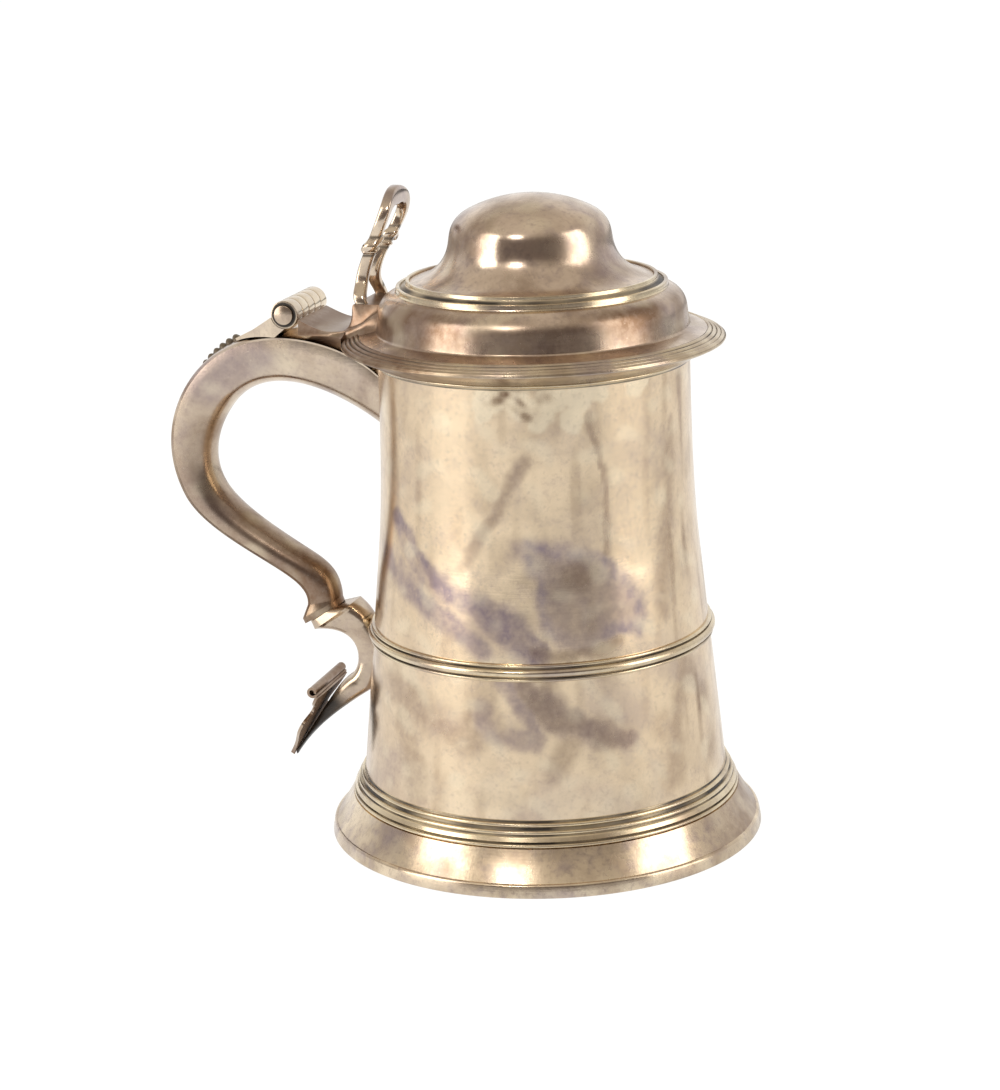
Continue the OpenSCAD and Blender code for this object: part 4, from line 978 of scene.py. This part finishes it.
# Half width, width of the cove at its foot, and the lid's radius that the plate stays outside
PLATE_HALF, COVE, PLATE_IN = 12.6, 6.5, 45.9


def plate_p(out, up):
    """Side view point of the plate: shares of the flange's width and of the pad's height."""
    return (SHOULDER_R + out*(RIM_R - SHOULDER_R), PLATE_TOP + up*(PAD_Z - PLATE_TOP))


PAD_OUT = (THUMB[0] + THUMB_DEEP - SHOULDER_R)/(RIM_R - SHOULDER_R)
HOLLOW = [HINGE - BARREL_R*np.array([0.98, 0.36]), HINGE - BARREL_R*np.array([1.55, 0.6]),
          plate_p(1.55, 0), plate_p(1.24, 0), plate_p(0.94, 0)]
MIDDLE = HOLLOW + [
    plate_p(PAD_OUT + 0.1, 0.03), plate_p(PAD_OUT + 0.08, 0.5), plate_p(PAD_OUT + 0.07, 0.75),
    plate_p(PAD_OUT + 0.08, 1), plate_p(PAD_OUT, 1), plate_p(PAD_OUT - 0.2, 1), plate_p(0.1, 1),
    plate_p(-0.2, 1)]
EDGE = HOLLOW + [
    plate_p(0.85, 0.036), plate_p(0.72, 0.1), plate_p(0.59, 0.157), plate_p(0.46, 0.217),
    plate_p(0.304, 0.337), plate_p(0.165, 0.446), plate_p(0.096, 0.59), plate_p(-0.2, 0.78)]


def plate_rings(n=130):
    """Rings across the hinge plate from barrel to shoulder: a cove rises from the flange to the plate's
    edge, a second hollow from the edge to the middle, which lies in the saddle and climbs to the pad."""
    u = np.linspace(0, 4, n)
    edge, middle = cubic(EDGE, u)[:, None], cubic(MIDDLE, u)[:, None]
    cove = COVE*np.interp(u, [0, 1, 1.5, 2, 2.6, 3.3, 4], [0.06, 0.06, 0.35, 0.8, 1, 0.8, 0.2])[:, None]
    r = np.hypot(edge[..., 0], PLATE_HALF + cove)
    foot = np.where(r < RIM_R, flange_z(r) - 0.95, PLATE_LOW)
    t = np.linspace(0, 1, 16)
    side_a = np.stack([edge[..., 0] + 0*t, foot + t*(edge[..., 1] - foot)], -1)
    y_a = PLATE_HALF + cove*(1 - t)**2.4
    t = np.linspace(0, 1, 14)[1:]
    side_b = edge + (t**1.8)[:, None]*(middle - edge)
    y_b = np.broadcast_to(PLATE_HALF - 1.75*t, side_b.shape[:2])
    side, y = np.concatenate([side_a, side_b], 1), np.concatenate([y_a, y_b], 1)
    side[..., 0] = np.maximum(side[..., 0], np.sqrt(PLATE_IN**2 - y*y))
    return np.concatenate([placed(side, y), placed(side[:, ::-1], -y[:, ::-1])], 1)


skin_piece("lid_hinge_plate", plate_rings(), "lid", CAST, 320, 40, base=(0.3, 0.85, 0))

# The standing leaf is the CAD node itself
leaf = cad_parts["standing_leaf"].data
leaf.materials.clear()
leaf.materials.append(CAST)

# Floor, light and camera

scene = bpy.context.scene
TOWARDS = np.array([0.2840, -0.9588, 0])

# White to the camera; in reflections it is whitest on the left and dimmer in front of the object
paper = bpy.data.materials.new("white studio paper")
tree = emptied(paper)
rays = node(tree, "ShaderNodeLightPath").outputs
spot = node(tree, "ShaderNodeTexCoord").outputs["Object"]
way = vector_maths(tree, "NORMALIZE", spot, result="Vector")
front = vector_maths(tree, "DOT_PRODUCT", way, (0.879, -0.477, 0))
dim = ranged(tree, front, -0.1, 1.0, 1.04, 0.84)
far = vector_maths(tree, "LENGTH", spot)
near = ranged(tree, far, 1.3, 2.3, 1.0, 0.2, interpolation_type="SMOOTHSTEP")
lit = maths(tree, "MULTIPLY", dim, near)
matt = node(tree, "ShaderNodeBsdfDiffuse", {"Color": linear("#f4f3f1")}).outputs["BSDF"]
white = linear("#ffffff")
card = node(tree, "ShaderNodeEmission", {"Color": white, "Strength": lit}).outputs["Emission"]
glow = node(tree, "ShaderNodeEmission", {"Color": white, "Strength": 1.16}).outputs["Emission"]
glowing = maths(tree, "MULTIPLY", rays["Is Camera Ray"], 0.8)
seen = node(tree, "ShaderNodeMixShader", {"Fac": glowing, 1: matt, 2: glow}).outputs["Shader"]
both = node(tree, "ShaderNodeMixShader", {"Fac": rays["Is Glossy Ray"], 1: seen, 2: card})
node(tree, "ShaderNodeOutputMaterial", {"Surface": both.outputs["Shader"]})
floor = bpy.data.meshes.new("floor")
floor.from_pydata([(-6, -6, 0), (6, -6, 0), (6, 6, 0), (-6, 6, 0)], [], [(0, 1, 2, 3)])
floor.materials.append(paper)
ground = bpy.data.objects.new("studio_floor", floor)
scene.collection.objects.link(ground)

# Dark room behind the camera, pale grey above, white paper behind the object
world = bpy.data.worlds.new("white studio")
scene.world = world
tree = emptied(world)
way = node(tree, "ShaderNodeTexCoord").outputs["Generated"]
facing = vector_maths(tree, "DOT_PRODUCT", way, tuple(TOWARDS))
height = node(tree, "ShaderNodeSeparateXYZ", {"Vector": way}).outputs["Z"]
behind = ranged(tree, facing, 0.05, -0.7)
room = ranged(tree, facing, 0.15, 0.68, interpolation_type="SMOOTHSTEP")
above = ranged(tree, height, 0.38, 0.78)
seen = node(tree, "ShaderNodeLightPath").outputs["Is Camera Ray"]
colour = layered(tree, linear("#aca49e"), (
    (behind, "#ffffff"), (room, "#726864"), (above, "#d2cabe"), (seen, "#ffffff")))
back = node(tree, "ShaderNodeBackground", {"Color": colour, "Strength": 1.0})
node(tree, "ShaderNodeOutputWorld", {"Surface": back.outputs["Background"]})


def softbox(name, azimuth, elevation, distance, width, height, watts, upright=True):
    """Area lamp at an azimuth from the camera's side, upright or turned to the middle of the drum."""
    a = math.atan2(TOWARDS[1], TOWARDS[0]) + math.radians(azimuth)
    e = math.radians(elevation)
    way = np.array([math.cos(a)*math.cos(e), math.sin(a)*math.cos(e), math.sin(e)])
    lamp = bpy.data.lights.new(name, "AREA")
    lamp.shape = "RECTANGLE"
    lamp.size, lamp.size_y, lamp.energy = width, height, watts
    lamp.color = linear("#fff9f1")[:3]
    made = bpy.data.objects.new(name, lamp)
    scene.collection.objects.link(made)
    made.location = Vector(way*distance + [0, 0, 0.11])
    back = Vector((way[0], way[1], 0 if upright else way[2]))
    made.rotation_euler = back.to_track_quat("Z", "Y").to_euler()


softbox("left_softbox", -63, 20, 1.15, 0.52, 0.98, 5.4)
softbox("right_softbox", 69, 20, 1.15, 0.60, 0.98, 5.3)
softbox("small_lamp", -22, 39, 1.2, 0.18, 0.08, 1.8, upright=False)

# Camera fitted to the photo: focal length and longer side in pixels, then its axes and place
FOCAL_PX, LONG_SIDE_PX, SENSOR_MM = 2835.8, 1090, 36
RIGHT = np.array([0.95667417, 0.28943143, -0.03168549])
UP = np.array([-0.04579261, 0.2570388, 0.96531554])
FORWARD = np.array([-0.28753706, 0.92204149, -0.2591562])
EYE = np.array([0.23987829, -0.80981554, 0.31670359])
optics = bpy.data.cameras.new("photo_camera")
optics.sensor_width = SENSOR_MM
optics.lens = FOCAL_PX/LONG_SIDE_PX*SENSOR_MM
camera = bpy.data.objects.new("photo_camera", optics)
scene.collection.objects.link(camera)
stand = np.vstack([np.column_stack([RIGHT, UP, -FORWARD, EYE]), [0, 0, 0, 1]])
camera.matrix_world = Matrix(stand.tolist())
scene.camera = camera
scene.view_settings.view_transform = "Standard"
